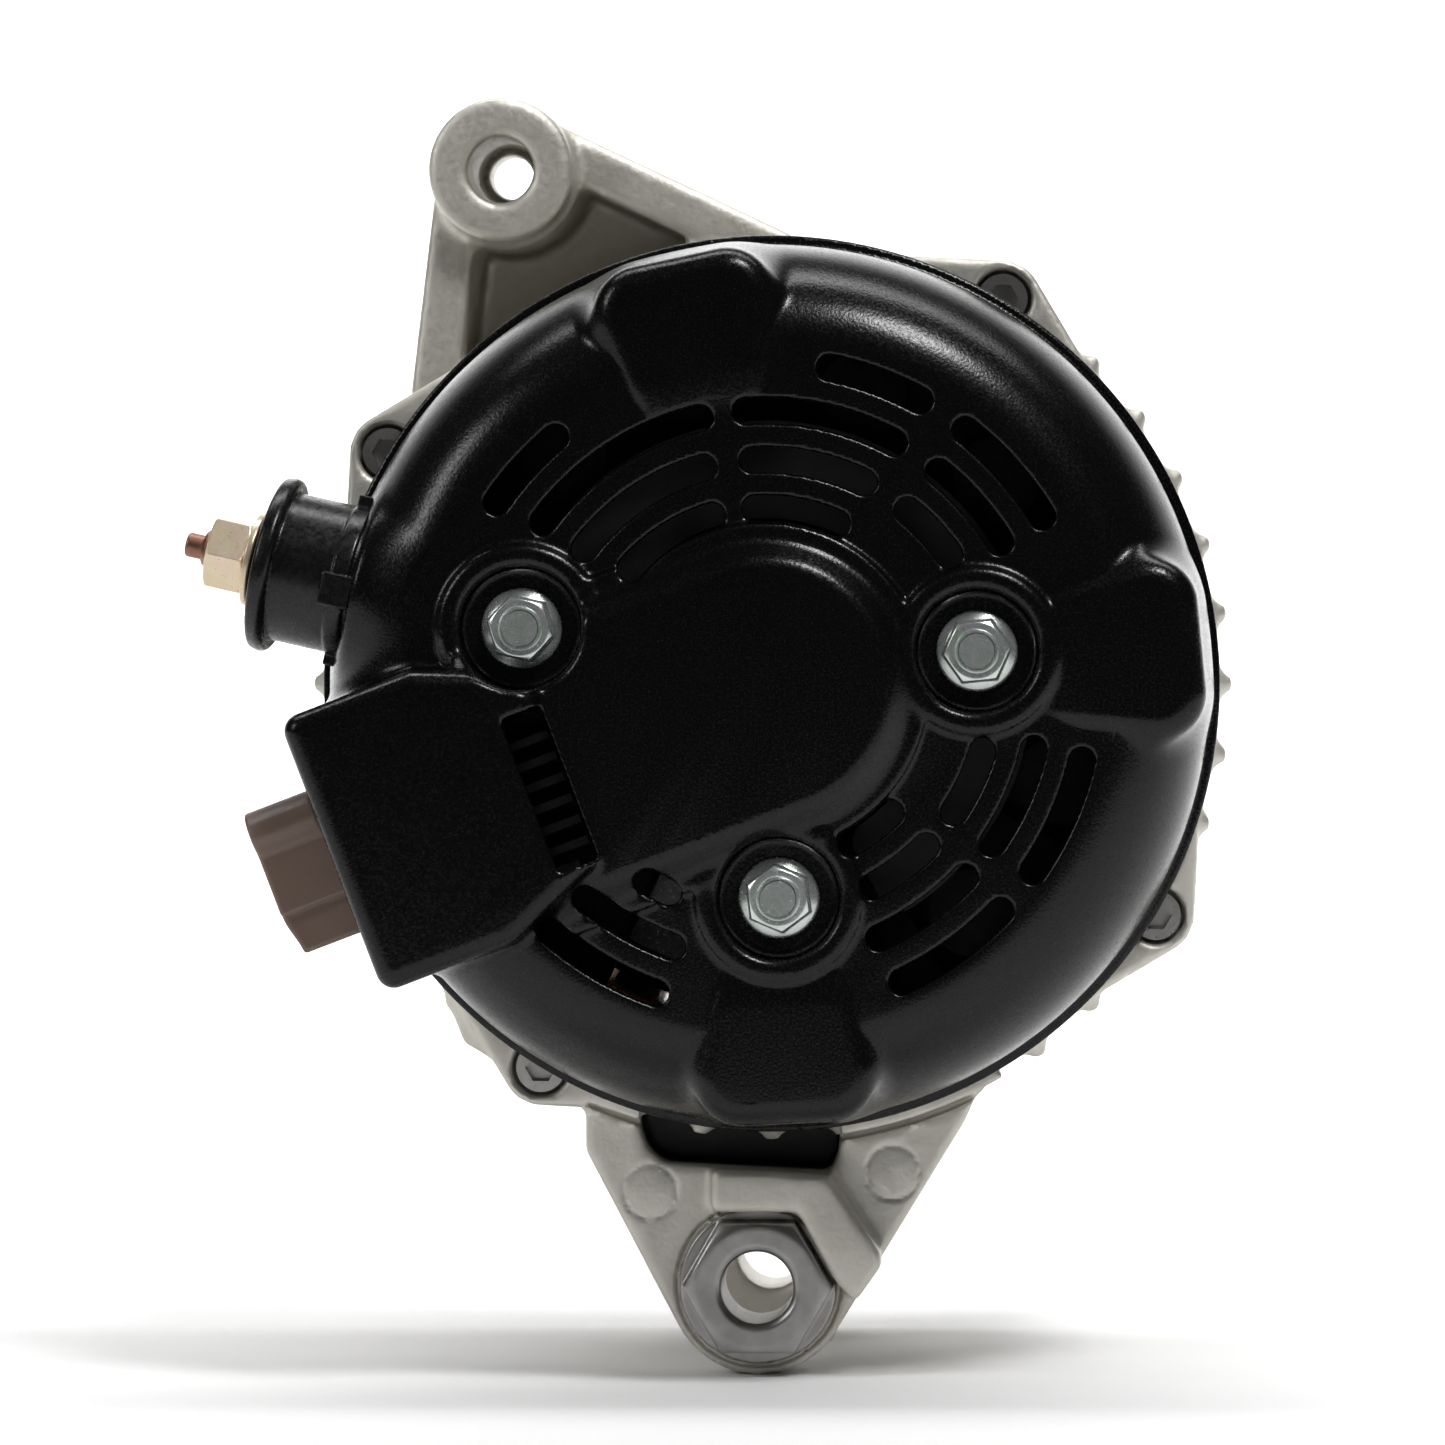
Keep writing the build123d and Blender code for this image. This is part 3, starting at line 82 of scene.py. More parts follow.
class Finish:
    """A principled material built from object-space textures, whose sizes are in millimetres."""

    def __init__(self, name, metallic=0.0, roughness=0.5, **sockets):
        self.material = bpy.data.materials.new(name)
        self.material.use_nodes = True
        self.tree = self.material.node_tree
        self.shader = next(n for n in self.tree.nodes if n.type == "BSDF_PRINCIPLED")
        self.set(self.shader, Metallic=metallic, Roughness=roughness)
        for socket, value in sockets.items():
            self.shader.inputs[socket.replace("_", " ")].default_value = value
        self.place = self.node("ShaderNodeTexCoord").outputs["Object"]
        self.normal = None

    def node(self, kind, **settings):
        made = self.tree.nodes.new(kind)
        for key, value in settings.items():
            setattr(made, key, value)
        return made

    def set(self, node, **values):
        for socket, value in values.items():
            target = node.inputs[socket.replace("_", " ")]
            if isinstance(value, bpy.types.NodeSocket):
                self.tree.links.new(value, target)
            else:
                target.default_value = value

    def stretched(self, x, y, z):
        """Object-space place, scaled along each axis."""
        mapping = self.node("ShaderNodeMapping")
        self.set(mapping, Vector=self.place, Scale=(x, y, z))
        return mapping.outputs[0]

    def noise(self, size, detail=3.0, roughness=0.55, place=None, distortion=0.0):
        """Cloudy pattern from 0 to 1 whose features are about size mm across."""
        made = self.node("ShaderNodeTexNoise")
        self.set(
            made,
            Vector=place or self.place,
            Scale=1 / (size * MM),
            Detail=detail,
            Roughness=roughness,
            Distortion=distortion,
        )
        return made.outputs[0]

    def rings(self, pitch, axis="Y", place=None, distortion=0.0, kind="RINGS"):
        """Bands pitch mm apart, round an axis or along it."""
        made = self.node("ShaderNodeTexWave", wave_type=kind)
        if kind == "RINGS":
            made.rings_direction = axis
        else:
            made.bands_direction = axis
        self.set(made, Vector=place or self.place, Scale=math.pi / (10 * pitch * MM), Distortion=distortion)
        return made.outputs[1]

    def edges(self, low=0.5, high=0.6):
        """0 on flats and 1 on convex edges."""
        return self.span(self.node("ShaderNodeNewGeometry").outputs["Pointiness"], 0, 1, low, high)

    def span(self, source, low, high, start=0.0, end=1.0):
        """Source's start to end, stretched to low to high."""
        made = self.node("ShaderNodeMapRange")
        self.set(made, Value=source)
        made.inputs["From Min"].default_value = start
        made.inputs["From Max"].default_value = end
        made.inputs["To Min"].default_value = low
        made.inputs["To Max"].default_value = high
        return made.outputs[0]

    def distance(self, place):
        """Length of a vector."""
        made = self.node("ShaderNodeVectorMath", operation="LENGTH")
        self.tree.links.new(place, made.inputs[0])
        return made.outputs["Value"]

    def product(self, first, second):
        made = self.node("ShaderNodeMath", operation="MULTIPLY")
        self.tree.links.new(first, made.inputs[0])
        self.tree.links.new(second, made.inputs[1])
        return made.outputs[0]

    def blend(self, share, first, second):
        """Colour between first and second by share."""
        made = self.node("ShaderNodeMix", data_type="RGBA")
        for index, value in ((0, share), (6, first), (7, second)):
            if isinstance(value, bpy.types.NodeSocket):
                self.tree.links.new(value, made.inputs[index])
            else:
                made.inputs[index].default_value = value
        return made.outputs[2]

    def colour(self, source):
        self.set(self.shader, Base_Color=source)
        return self

    def gloss(self, source):
        self.set(self.shader, Roughness=source)
        return self

    def bump(self, source, height, strength=1.0):
        """Adds relief height mm deep on top of what is there."""
        made = self.node("ShaderNodeBump")
        self.set(made, Height=source, Distance=height * MM, Strength=strength)
        if self.normal:
            self.set(made, Normal=self.normal)
        self.normal = made.outputs[0]
        self.set(self.shader, Normal=self.normal)
        return self


def grey(value, warm=0.0):
    """Colour of that lightness, tinted warm or, if negative, cold."""
    return (value * (1 + warm), value, value * (1 - warm), 1)


# Painted shade on the castings, in metres: how far it reaches, then how far its edge fades
COVER_SHADE_R = (0.0600, 0.0608)  # behind the rear cover, about the rotor axis
COVER_SHADE_STATION = (0.1000, 0.1010)
POCKET_R = (0.0735, 0.0740)  # in the pocket at the foot of the lower ear
POCKET_FLOOR = (0.0885, 0.0890)
POCKET_MOUTH = (0.0960, 0.1005)
POCKET_TOP = (-0.0615, -0.0610)
POCKET_HALF = (0.0200, 0.0205)


def cast_aluminium():
    """Sand-grey die casting, with faint stains, a fine skin, lighter edges that are partly wear and partly a
    painted highlight, and painted shade behind the rear cover and in the lower ear's pocket.
    """
    made = Finish("cast_aluminium", metallic=0.72, roughness=0.5)
    stain = made.noise(14, detail=4)
    grain = made.noise(0.9, detail=4, roughness=0.7)
    base = made.blend(made.span(stain, 0, 1, 0.35, 0.7), (0.57, 0.55, 0.495, 1), (0.67, 0.65, 0.59, 1))
    # Lighter convex edges: partly wear on rubbed edges, partly a painted highlight
    base = made.blend(made.edges(0.5, 0.62), base, (0.78, 0.765, 0.72, 1))
    radius = made.distance(made.stretched(1, 0, 1))
    station = made.distance(made.stretched(0, 1, 0))
    aside = made.distance(made.stretched(1, 0, 0))
    apart = made.node("ShaderNodeSeparateXYZ")
    made.set(apart, Vector=made.place)
    # Painted shade: the rear frame's face inside radius 60 mm, behind the rear cover, is coloured near
    # black, as it lies in shade
    behind_cover_shade = made.product(made.span(radius, 1, 0, *COVER_SHADE_R), made.span(station, 0, 1, *COVER_SHADE_STATION))
    # Painted shade: the floor and walls of the pocket at the foot of the lower ear are coloured dark grey
    pocket = made.product(made.span(radius, 1, 0, *POCKET_R), made.span(station, 1, 0, *POCKET_MOUTH))
    pocket = made.product(pocket, made.span(station, 0, 1, *POCKET_FLOOR))
    pocket = made.product(pocket, made.span(apart.outputs["Z"], 1, 0, *POCKET_TOP))
    pocket = made.product(pocket, made.span(aside, 1, 0, *POCKET_HALF))
    base = made.blend(behind_cover_shade, base, grey(0.008))
    made.colour(made.blend(pocket, base, grey(0.03)))
    made.gloss(made.span(grain, 0.4, 0.6, 0.3, 0.7))
    made.bump(made.noise(2.6, detail=2), 0.10)
    return made.bump(grain, 0.05)


def moulded_plastic(name, dark, light, roughness, grain, relief, specular=0.5):
    """Injection-moulded plastic with a fine eroded grain."""
    made = Finish(name, roughness=roughness, Specular_IOR_Level=specular)
    cloud = made.noise(8, detail=4)
    speck = made.noise(grain, detail=3, roughness=0.7)
    made.colour(made.blend(cloud, dark, light))
    made.gloss(made.span(speck, roughness - 0.09, roughness + 0.12, 0.3, 0.7))
    return made.bump(made.noise(grain, detail=1), relief)


def plated(name, dark, light, roughness, tint=None, metallic=1.0):
    """Electroplated steel: bright, with faint clouds of tint and fine handling marks."""
    made = Finish(name, metallic=metallic, roughness=roughness)
    base = made.blend(made.span(made.noise(3.5, detail=2), 0, 1, 0.25, 0.75), dark, light)
    if tint:
        base = made.blend(made.span(made.noise(2.4, detail=2), 0, 0.7, 0.42, 0.8), base, tint)
    made.colour(base)
    scratch = made.noise(0.5, detail=3, place=made.stretched(1, 0.25, 1))
    made.gloss(made.span(scratch, roughness - 0.03, roughness + 0.04, 0.3, 0.7))
    return made.bump(scratch, 0.002)


def turned(name, dark, light, roughness, pitch=0.28):
    """Turned metal, with tool rings about the rotor axis."""
    made = Finish(name, metallic=1.0, roughness=roughness, Anisotropic=0.3)
    made.colour(made.blend(made.noise(5, detail=4), dark, light))
    rings = made.rings(pitch, distortion=0.6)
    made.gloss(made.span(made.noise(0.6, detail=3), roughness - 0.07, roughness + 0.1, 0.3, 0.7))
    return made.bump(rings, 0.006)


def laminated(name):
    """Stacked steel sheet with a varnish film and some rust bloom."""
    made = Finish(name, metallic=0.85, roughness=0.48)
    rust = made.span(made.noise(7, detail=5), 0, 0.35, 0.52, 0.72)
    made.colour(made.blend(rust, grey(0.20, 0.02), (0.16, 0.085, 0.045, 1)))
    made.gloss(made.span(made.noise(0.8), 0.38, 0.6, 0.3, 0.7))
    return made.bump(made.rings(0.5, kind="BANDS"), 0.05)


def wound(name, dark, light):
    """Enamelled wire."""
    made = Finish(name, metallic=0.9, roughness=0.3, Coat_Weight=0.6, Coat_Roughness=0.15)
    made.colour(made.blend(made.noise(3, detail=3), dark, light))
    made.gloss(made.span(made.noise(1.1), 0.24, 0.42, 0.3, 0.7))
    return made.bump(made.rings(0.9, kind="BANDS", distortion=1.2), 0.12)


def rubber(name):
    made = Finish(name, roughness=0.62, Sheen_Weight=0.1)
    made.colour(made.blend(made.noise(3), grey(0.012), grey(0.03)))
    made.gloss(made.span(made.noise(0.5), 0.55, 0.72, 0.3, 0.7))
    return made.bump(made.noise(0.3), 0.02)


FINISHES = {
    "cast_aluminium": cast_aluminium(),
    "bush_steel": plated("bush_steel", grey(0.30, 0.02), grey(0.40, 0.02), roughness=0.36),
    "plated_steel": plated("plated_steel", grey(0.48, 0.03), grey(0.62, 0.03), roughness=0.3),
    "bright_zinc": plated(
        "bright_zinc",
        (0.62, 0.65, 0.66, 1),
        (0.76, 0.78, 0.77, 1),
        roughness=0.24,
        tint=(0.56, 0.68, 0.54, 1),
        metallic=0.82,
    ),
    "core_steel": laminated("core_steel"),
    "enamelled_copper": wound("enamelled_copper", (0.42, 0.16, 0.06, 1), (0.62, 0.27, 0.11, 1)),
    "bearing_steel": plated("bearing_steel", grey(0.58), grey(0.7), roughness=0.16),
    "seal_rubber": rubber("seal_rubber"),
    "inner_plastic": moulded_plastic(
        "inner_plastic", grey(0.008), grey(0.014), roughness=0.42, grain=0.5, relief=0.02
    ),
    "machined_steel": turned("machined_steel", grey(0.42, 0.01), grey(0.55, 0.01), roughness=0.3),
    "slip_ring_copper": turned(
        "slip_ring_copper", (0.55, 0.24, 0.12, 1), (0.72, 0.36, 0.2, 1), roughness=0.22, pitch=0.2
    ),
    "carbon": moulded_plastic("carbon", grey(0.018), grey(0.035), roughness=0.5, grain=0.25, relief=0.02),
    "spring_steel": plated("spring_steel", grey(0.42), grey(0.55), roughness=0.25),
    # Painted shade: the rectifier's heat sink and diodes are coloured near black, as they lie in shade
    # behind the cover's slots
    "heat_sink_aluminium": plated("heat_sink_aluminium", grey(0.010), grey(0.018), roughness=0.5),
    "diode_nickel": plated("diode_nickel", grey(0.012), grey(0.022), roughness=0.5),
    "connector_plastic": moulded_plastic(
        "connector_plastic",
        (0.15, 0.10, 0.078, 1),
        (0.20, 0.135, 0.105, 1),
        roughness=0.38,
        grain=0.6,
        relief=0.015,
    ),
    "insulator_plastic": moulded_plastic(
        "insulator_plastic", grey(0.003), grey(0.006), roughness=0.27, grain=0.8, relief=0.012, specular=0.36
    ),
    "copper_plated_steel": plated(
        "copper_plated_steel", (0.24, 0.12, 0.085, 1), (0.33, 0.18, 0.13, 1), roughness=0.42
    ),
    "yellow_zinc": plated(
        "yellow_zinc",
        (0.72, 0.60, 0.40, 1),
        (0.78, 0.67, 0.49, 1),
        roughness=0.3,
        tint=(0.76, 0.56, 0.50, 1),
        metallic=0.6,
    ),
    "cover_plastic": moulded_plastic(
        "cover_plastic", grey(0.001), grey(0.002), roughness=0.22, grain=0.4, relief=0.03, specular=0.30
    ),
}
for entry in frame["record"]["subparts"]:
    slots = frame["nodes"][entry["node"]].data.materials
    slots.clear()
    slots.append(FINISHES[entry["material_slot"]].material)

# ---------------------------------------------------------------- distance fields


def join(a, b, radius):
    """Union of two fields with a round fillet where they meet."""
    inside = np.minimum(a, b)
    near = np.hypot(np.maximum(radius - a, 0), np.maximum(radius - b, 0))
    return np.maximum(radius, inside) - near


def meet(a, b, radius):
    """Intersection of two fields with a rounded edge where they meet."""
    outside = np.maximum(a, b)
    near = np.hypot(np.maximum(radius + a, 0), np.maximum(radius + b, 0))
    return np.minimum(-radius, outside) + near


def slab(value, low, high):
    """Distance to the space between two planes."""
    return np.maximum(low - value, value - high)


def polygon(x, y, corners):
    """Signed distance to a closed polygon in a plane."""
    nearest = np.full(np.broadcast(x, y).shape, np.inf)
    side = np.ones_like(nearest)
    for (ax, ay), (bx, by) in zip(corners, corners[1:] + corners[:1]):
        ex, ey = bx - ax, by - ay
        wx, wy = x - ax, y - ay
        along = np.clip((wx * ex + wy * ey) / (ex * ex + ey * ey), 0, 1)
        nearest = np.minimum(nearest, np.hypot(wx - ex * along, wy - ey * along))
        above = y >= ay
        below = y < by
        left = ex * wy > ey * wx
        crossing = (above & below & left) | (~above & ~below & ~left)
        side = np.where(crossing, -side, side)
    return side * nearest


def arc_slot(x, z, radius, start, end, width):
    """Distance to a slot along an arc about the rotor axis, with round ends."""
    middle = math.radians((start + end) / 2)
    half = math.radians(end - start) / 2
    across = x * math.cos(middle) + z * math.sin(middle)
    along = np.abs(z * math.cos(middle) - x * math.sin(middle))
    beyond = np.arctan2(along, across) > half
    ring_gap = np.abs(np.hypot(across, along) - radius)
    end_gap = np.hypot(across - radius * math.cos(half), along - radius * math.sin(half))
    return np.where(beyond, end_gap, ring_gap) - width / 2


class Field:
    """Signed distances on a grid of points, negative inside, worked on a block at a time."""

    def __init__(self, low, high, step):
        self.step = step
        self.low = np.array(low, float)
        counts = [int(math.ceil((b - a) / step)) + 1 for a, b in zip(low, high)]
        self.axes = [a + step * np.arange(n) for a, n in zip(low, counts)]
        self.value = np.full(counts, 1e3, np.float32)

    def apply(self, change, low=None, high=None):
        """Sets a block of values to change(values, x, y, z)."""
        cut = []
        for axis, line in enumerate(self.axes):
            first = 0 if low is None else np.searchsorted(line, low[axis])
            last = len(line) if high is None else np.searchsorted(line, high[axis], side="right")
            cut.append(slice(first, last))
        x = self.axes[0][cut[0]][:, None, None]
        y = self.axes[1][cut[1]][None, :, None]
        z = self.axes[2][cut[2]][None, None, :]
        block = tuple(cut)
        self.value[block] = change(self.value[block], x, y, z)

    def surface(self):
        """Points in mm and quads of the zero surface."""
        grid = openvdb.FloatGrid(1e3)
        grid.copyFromArray(self.value)
        points, quads = grid.convertToQuads(0.0)
        return points * self.step + self.low, quads


def piece(name, points, faces, slot, body, replaced, most=None):
    """A smooth-shaded object from points in mm, thinned to at most that many triangles."""
    mesh = bpy.data.meshes.new(name)
    mesh.from_pydata((np.asarray(points) * MM).tolist(), [], np.asarray(faces).tolist())
    made = bpy.data.objects.new(name, mesh)
    bpy.context.scene.collection.objects.link(made)
    triangles = sum(len(p.vertices) - 2 for p in mesh.polygons)
    if most and triangles > most:
        thinner = made.modifiers.new("thin", "DECIMATE")
        thinner.ratio = most / triangles
        bpy.context.view_layer.update()
        evaluated = made.evaluated_get(bpy.context.evaluated_depsgraph_get())
        made.data = bpy.data.meshes.new_from_object(evaluated)
        made.modifiers.clear()
    made.data.materials.clear()
    made.data.materials.append(FINISHES[slot].material)
    made.data.shade_smooth()
    made.data.update()
    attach(made, body)
    if replaced:
        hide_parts(*replaced)
    return made


MOST_TRIANGLES = 185000

# ---------------------------------------------------------------- stations and places, as in the CAD

REAR_FACE = -106.0  # where the rear cover seats
SHOULDER_Y = -114.0
COVER_FACE = -134.0
PLATEAU_FACE = -138.0
BOX_FACE = -141.0
COVER_SIDE_R = 63.5
COVER_FLAT_R = 49.0
COVER_WALL = 1.8
BULGE_ANGLES = [102.0, 5.5, -87.0]
BULGE_PLAN = [(36.0, -9.5), (62.5, -13.2), (62.5, 13.2), (36.0, 9.5)]
STUD_SITES = [(-34.7, 8.3), (30.2, 5.1), (2.0, -30.1)]
DISH_FLOOR = -131.0
BRUSH_ANGLE = math.radians(201.0)
BOX_PLAN = [(30.5, -14.0), (46.0, -20.2), (66.0, -20.2), (66.0, 21.3), (46.0, 21.3), (30.5, 14.8)]
FIN_WINDOW = [(30.5, -9.0), (36.5, -9.0), (36.5, 14.3), (30.5, 14.3)]
PLUG_Y = -122.0
PLUG_V = 1.3
PLUG_WIDTH = 21.8
PLUG_THICK = 13.0
SLOT_WIDTH = 3.7
# Ventilation slots: radius, then the angles of the two end centres
COVER_SLOTS = [
    (46.3, 130.0, 145.5),
    (46.3, 61.5, 78.5),
    (46.3, 31.5, 52.0),
    (46.3, -34.5, -13.0),
    (46.3, -65.0, -43.5),
    (46.3, -131.5, -109.5),
    (39.3, 103.5, 143.5),
    (39.3, 62.0, 94.0),
    (39.3, 31.5, 51.0),
    (39.3, -34.5, -13.0),
    (39.3, -65.5, -43.5),
    (39.3, -130.0, -109.5),
    (32.3, 105.5, 142.5),
    (32.3, 64.0, 93.0),
    (32.3, 35.5, 51.0),
    (32.3, -33.5, -16.5),
    (32.3, -61.5, -44.5),
    (32.3, -121.0, -115.0),
    (25.4, 107.0, 138.5),
    (25.4, 66.0, 93.0),
    (25.4, -61.0, -45.0),
]
OUTPUT_ANGLE = math.radians(167.3)
OUTPUT_LEAN = math.radians(6.0)
OUTPUT_FLANGE = np.array([-72.2, -117.9, 17.65])
OUTPUT_AXIS = np.array(
    [
        math.cos(OUTPUT_LEAN) * math.cos(OUTPUT_ANGLE),
        math.sin(OUTPUT_LEAN),
        math.cos(OUTPUT_LEAN) * math.sin(OUTPUT_ANGLE),
    ]
)


def brush_line(x, z):
    """Place along the brush line and across it."""
    along = x * math.cos(BRUSH_ANGLE) + z * math.sin(BRUSH_ANGLE)
    across = z * math.cos(BRUSH_ANGLE) - x * math.sin(BRUSH_ANGLE)
    return along, across


def output_line(x, y, z):
    """Place along the output terminal's axis, and distance from it."""
    offsets = [value - origin for value, origin in zip((x, y, z), OUTPUT_FLANGE)]
    along = sum(offset * part for offset, part in zip(offsets, OUTPUT_AXIS))
    square = sum(offset**2 for offset in offsets) - along**2
    return along, np.sqrt(np.maximum(square, 0))


def ease(value, low, high):
    """0 below low and 1 above high, smooth between."""
    share = np.clip((value - low) / (high - low), 0, 1)
    return share * share * (3 - 2 * share)


# ---------------------------------------------------------------- rear cover


def cover_body(value, x, y, z):
    """Drum with an elliptical shoulder."""
    radius = np.hypot(x, z)
    reach, drop = COVER_SIDE_R - COVER_FLAT_R, SHOULDER_Y - COVER_FACE
    across = (radius - COVER_FLAT_R) / reach
    back = (SHOULDER_Y - y) / drop
    size = np.hypot(across, back) + 1e-6
    bent = (size - 1) * size / (np.hypot(across / reach, back / drop) + 1e-6)
    straight = np.maximum(radius - COVER_SIDE_R, COVER_FACE - y)
    return np.where((across > 0) & (back > 0), bent, straight)


BULGE_CORNER = 7.0
BULGE_EDGE = 3.5
BULGE_RISE = 0.8  # how far the pad stands above the flat face
BULGE_RISE_SPAN = (38.0, 46.0)  # radii between which it rises
BULGE_FILLET = 3.2
BULGE_FILLET_SPAN = (49.5, 58.0)  # radii between which the fillet at its foot grows


def add_bulge(angle):
    """Raised pad over the shoulder, with round outer corners and a soft edge."""
    turn = math.radians(angle)
    corner = BULGE_CORNER
    plan = [
        (BULGE_PLAN[0][0], BULGE_PLAN[0][1] + corner),
        (BULGE_PLAN[1][0] - corner, BULGE_PLAN[1][1] + corner),
        (BULGE_PLAN[2][0] - corner, BULGE_PLAN[2][1] - corner),
        (BULGE_PLAN[3][0], BULGE_PLAN[3][1] - corner),
    ]

    def change(value, x, y, z):
        along = x * math.cos(turn) + z * math.sin(turn)
        across = z * math.cos(turn) - x * math.sin(turn)
        top = COVER_FACE - BULGE_RISE * ease(along, *BULGE_RISE_SPAN)
        pad = meet(polygon(along, across, plan) - corner, top - y, BULGE_EDGE)
        fillet = BULGE_FILLET * ease(np.hypot(x, z), *BULGE_FILLET_SPAN)
        return join(value, pad, fillet)

    return change


LEDGE_R = 23.4
LEDGE_FACE = -135.1
HUB_SLOPE_R = 20.6  # where the hub's sloping side meets HUB_SLOPE_FACE
HUB_SLOPE_FACE = -135.4
HUB_SLOPE = (0.68, 0.733)  # outward and rearward parts of that side's normal
HUB_END = 40.0  # how far the hub runs into the box


def plateau(value, x, y, z):
    """Raised face over the slip rings, which runs into the box along the brush line."""
    along, across = brush_line(x, z)
    reach = np.where(along < 0, np.hypot(along, across), np.abs(across))
    ledge = meet(reach - LEDGE_R, LEDGE_FACE - y, 0.7)
    slope = (reach - HUB_SLOPE_R) * HUB_SLOPE[0] + (HUB_SLOPE_FACE - y) * HUB_SLOPE[1]
    top = meet(slope, PLATEAU_FACE - y, 0.8)
    shape = np.maximum(join(ledge, top, 0.6), along - HUB_END)
    return join(value, shape, 0.5)


BOX_EDGE = 2.6
BOX_FILLET = 1.6


def regulator_box(value, x, y, z):
    """Raised box over the voltage regulator."""
    along, across = brush_line(x, z)
    shape = meet(inset(BOX_PLAN, BOX_EDGE)(along, across) - BOX_EDGE, BOX_FACE - y, BOX_EDGE)
    return join(value, shape, BOX_FILLET)


def inset(corners, amount):
    """Distance to an anticlockwise convex polygon, moved inward."""
    moved = []
    count = len(corners)
    for k in range(count):
        before, here, after = (np.array(corners[(k + j) % count]) for j in (-1, 0, 1))
        first = (here - before) / np.linalg.norm(here - before)
        second = (after - here) / np.linalg.norm(after - here)
        inward = np.array([-first[1], first[0]]) + np.array([-second[1], second[0]])
        moved.append(tuple(here + amount * 2 * inward / np.dot(inward, inward)))
    return lambda x, y: polygon(x, y, moved)


BOSS_R = 12.6
BOSS_ENDS = (-22.0, -14.6)  # along the output terminal's axis
BOSS_EDGE = 1.2
BOSS_FILLET = 3.0


def output_boss(value, x, y, z):
    """Boss that the output terminal's insulator comes out of."""
    along, reach = output_line(x, y, z)
    shape = meet(reach - BOSS_R, along - BOSS_ENDS[1], BOSS_EDGE)
    return join(value, np.maximum(shape, BOSS_ENDS[0] - along), BOSS_FILLET)


CREST_R = 12.0
CREST_FACE = -135.3
DISH_R = 8.8


def add_crest(site):
    """Soft ring round a nut's dish."""

    def change(value, x, y, z):
        reach = np.hypot(x - site[0], z - site[1])
        return join(value, meet(reach - CREST_R, CREST_FACE - y, 1.1), 0.9)

    return change


def cut_dish(site):
    """Dish that a nut sits in."""

    def change(value, x, y, z):
        reach = np.hypot(x - site[0], z - site[1])
        return meet(value, -meet(reach - DISH_R, y - DISH_FLOOR, 1.0), 1.1)

    return change


def cut_slot(slot):
    """Ventilation slot with a softened edge."""

    def change(value, x, y, z):
        return meet(value, -arc_slot(x, z, *slot, SLOT_WIDTH), 0.35)

    return change


BEHIND = -143.0  # a station past the rearmost face
SLOT_EDGE_STATION = -125.0  # a station inside the cover's face


def rim_point(radius, angle):
    """Place across the rotor axis at a radius and an angle in degrees."""
    return (radius * math.cos(math.radians(angle)), radius * math.sin(math.radians(angle)))


def around(places, margin, front):
    """Corners of the block round some places across the axis, from behind the cover to a station."""
    low = [min(place[k] for place in places) - margin for k in (0, 1)]
    high = [max(place[k] for place in places) + margin for k in (0, 1)]
    return (low[0], BEHIND, low[1]), (high[0], front, high[1])


def rear_cover():
    """The cover, built up outside, hollowed and then pierced."""
    field = Field((-84, -142.5, -67), (67.5, -104.5, 67), 0.45)
    field.apply(cover_body)
    for angle in BULGE_ANGLES:
        field.apply(add_bulge(angle), *around([rim_point(58, angle)], 26, -104))
    field.apply(plateau, (-50, BEHIND, -50), (30, -126, 30))
    field.apply(regulator_box, (-84, BEHIND, -50), (0, -104, 12))
    field.apply(output_boss, (-84, BEHIND, -4), (-40, -104, 38))
    for site in STUD_SITES:
        low, high = around([site], 14, -126)
        field.apply(add_crest(site), low, high)
        field.apply(cut_dish(site), low, high)
    # Hollow, open to the frame
    field.apply(lambda value, x, y, z: meet(value, -(value + COVER_WALL), 0.2))
    field.apply(lambda value, x, y, z: meet(value, y - REAR_FACE, 0.3))
    field.apply(rim, high=(70, -103, 70))
    for slot in COVER_SLOTS:
        radius, start, end = slot
        places = [rim_point(radius, angle) for angle in (start, end, (start + end) / 2)]
        field.apply(cut_slot(slot), *around(places, 3, SLOT_EDGE_STATION))
    field.apply(openings)
    points, quads = field.surface()
    piece("rear_cover_moulding", points, quads, "cover_plastic", "housing", ["rear_cover"], MOST_TRIANGLES)


RIM_MIDDLE_R = 63.6
RIM_HALF = 1.5
RIM_THICK = 1.6
STUD_HOLE_R = 2.8
NOTCH_GAP = 0.4
NOTCH_ROOT = 58.0  # how far along the brush line the plug's notch starts
OUTPUT_HOLE_R = 11.1


def rim(value, x, y, z):
    """Thin flat flange against the rear frame."""
    radius = np.hypot(x, z)
    flange = meet(np.abs(radius - RIM_MIDDLE_R) - RIM_HALF, slab(y, REAR_FACE - RIM_THICK, REAR_FACE), 0.35)
    return join(value, flange, 0.4)


def openings(value, x, y, z):
    """Fin window, stud holes, the plug's notch and the output terminal's hole."""
    along, across = brush_line(x, z)
    window = np.maximum(inset(FIN_WINDOW, 0.8)(along, across) - 0.8, y - SLOT_EDGE_STATION)
    value = meet(value, -window, 0.3)
    for site in STUD_SITES:
        hole = np.maximum(np.hypot(x - site[0], z - site[1]) - STUD_HOLE_R, y - SLOT_EDGE_STATION)
        value = np.maximum(value, -hole)
    notch_top = PLUG_Y - PLUG_THICK / 2 - NOTCH_GAP
    notch = meet(np.abs(across - PLUG_V) - PLUG_WIDTH / 2 - NOTCH_GAP, notch_top - y, 2.5)
    value = meet(value, -np.maximum(notch, NOTCH_ROOT - along), 0.3)
    outward, reach = output_line(x, y, z)
    return np.maximum(value, -np.maximum(reach - OUTPUT_HOLE_R, BOSS_ENDS[0] - 3 - outward))


rear_cover()

# ---------------------------------------------------------------- fasteners of the rear cover


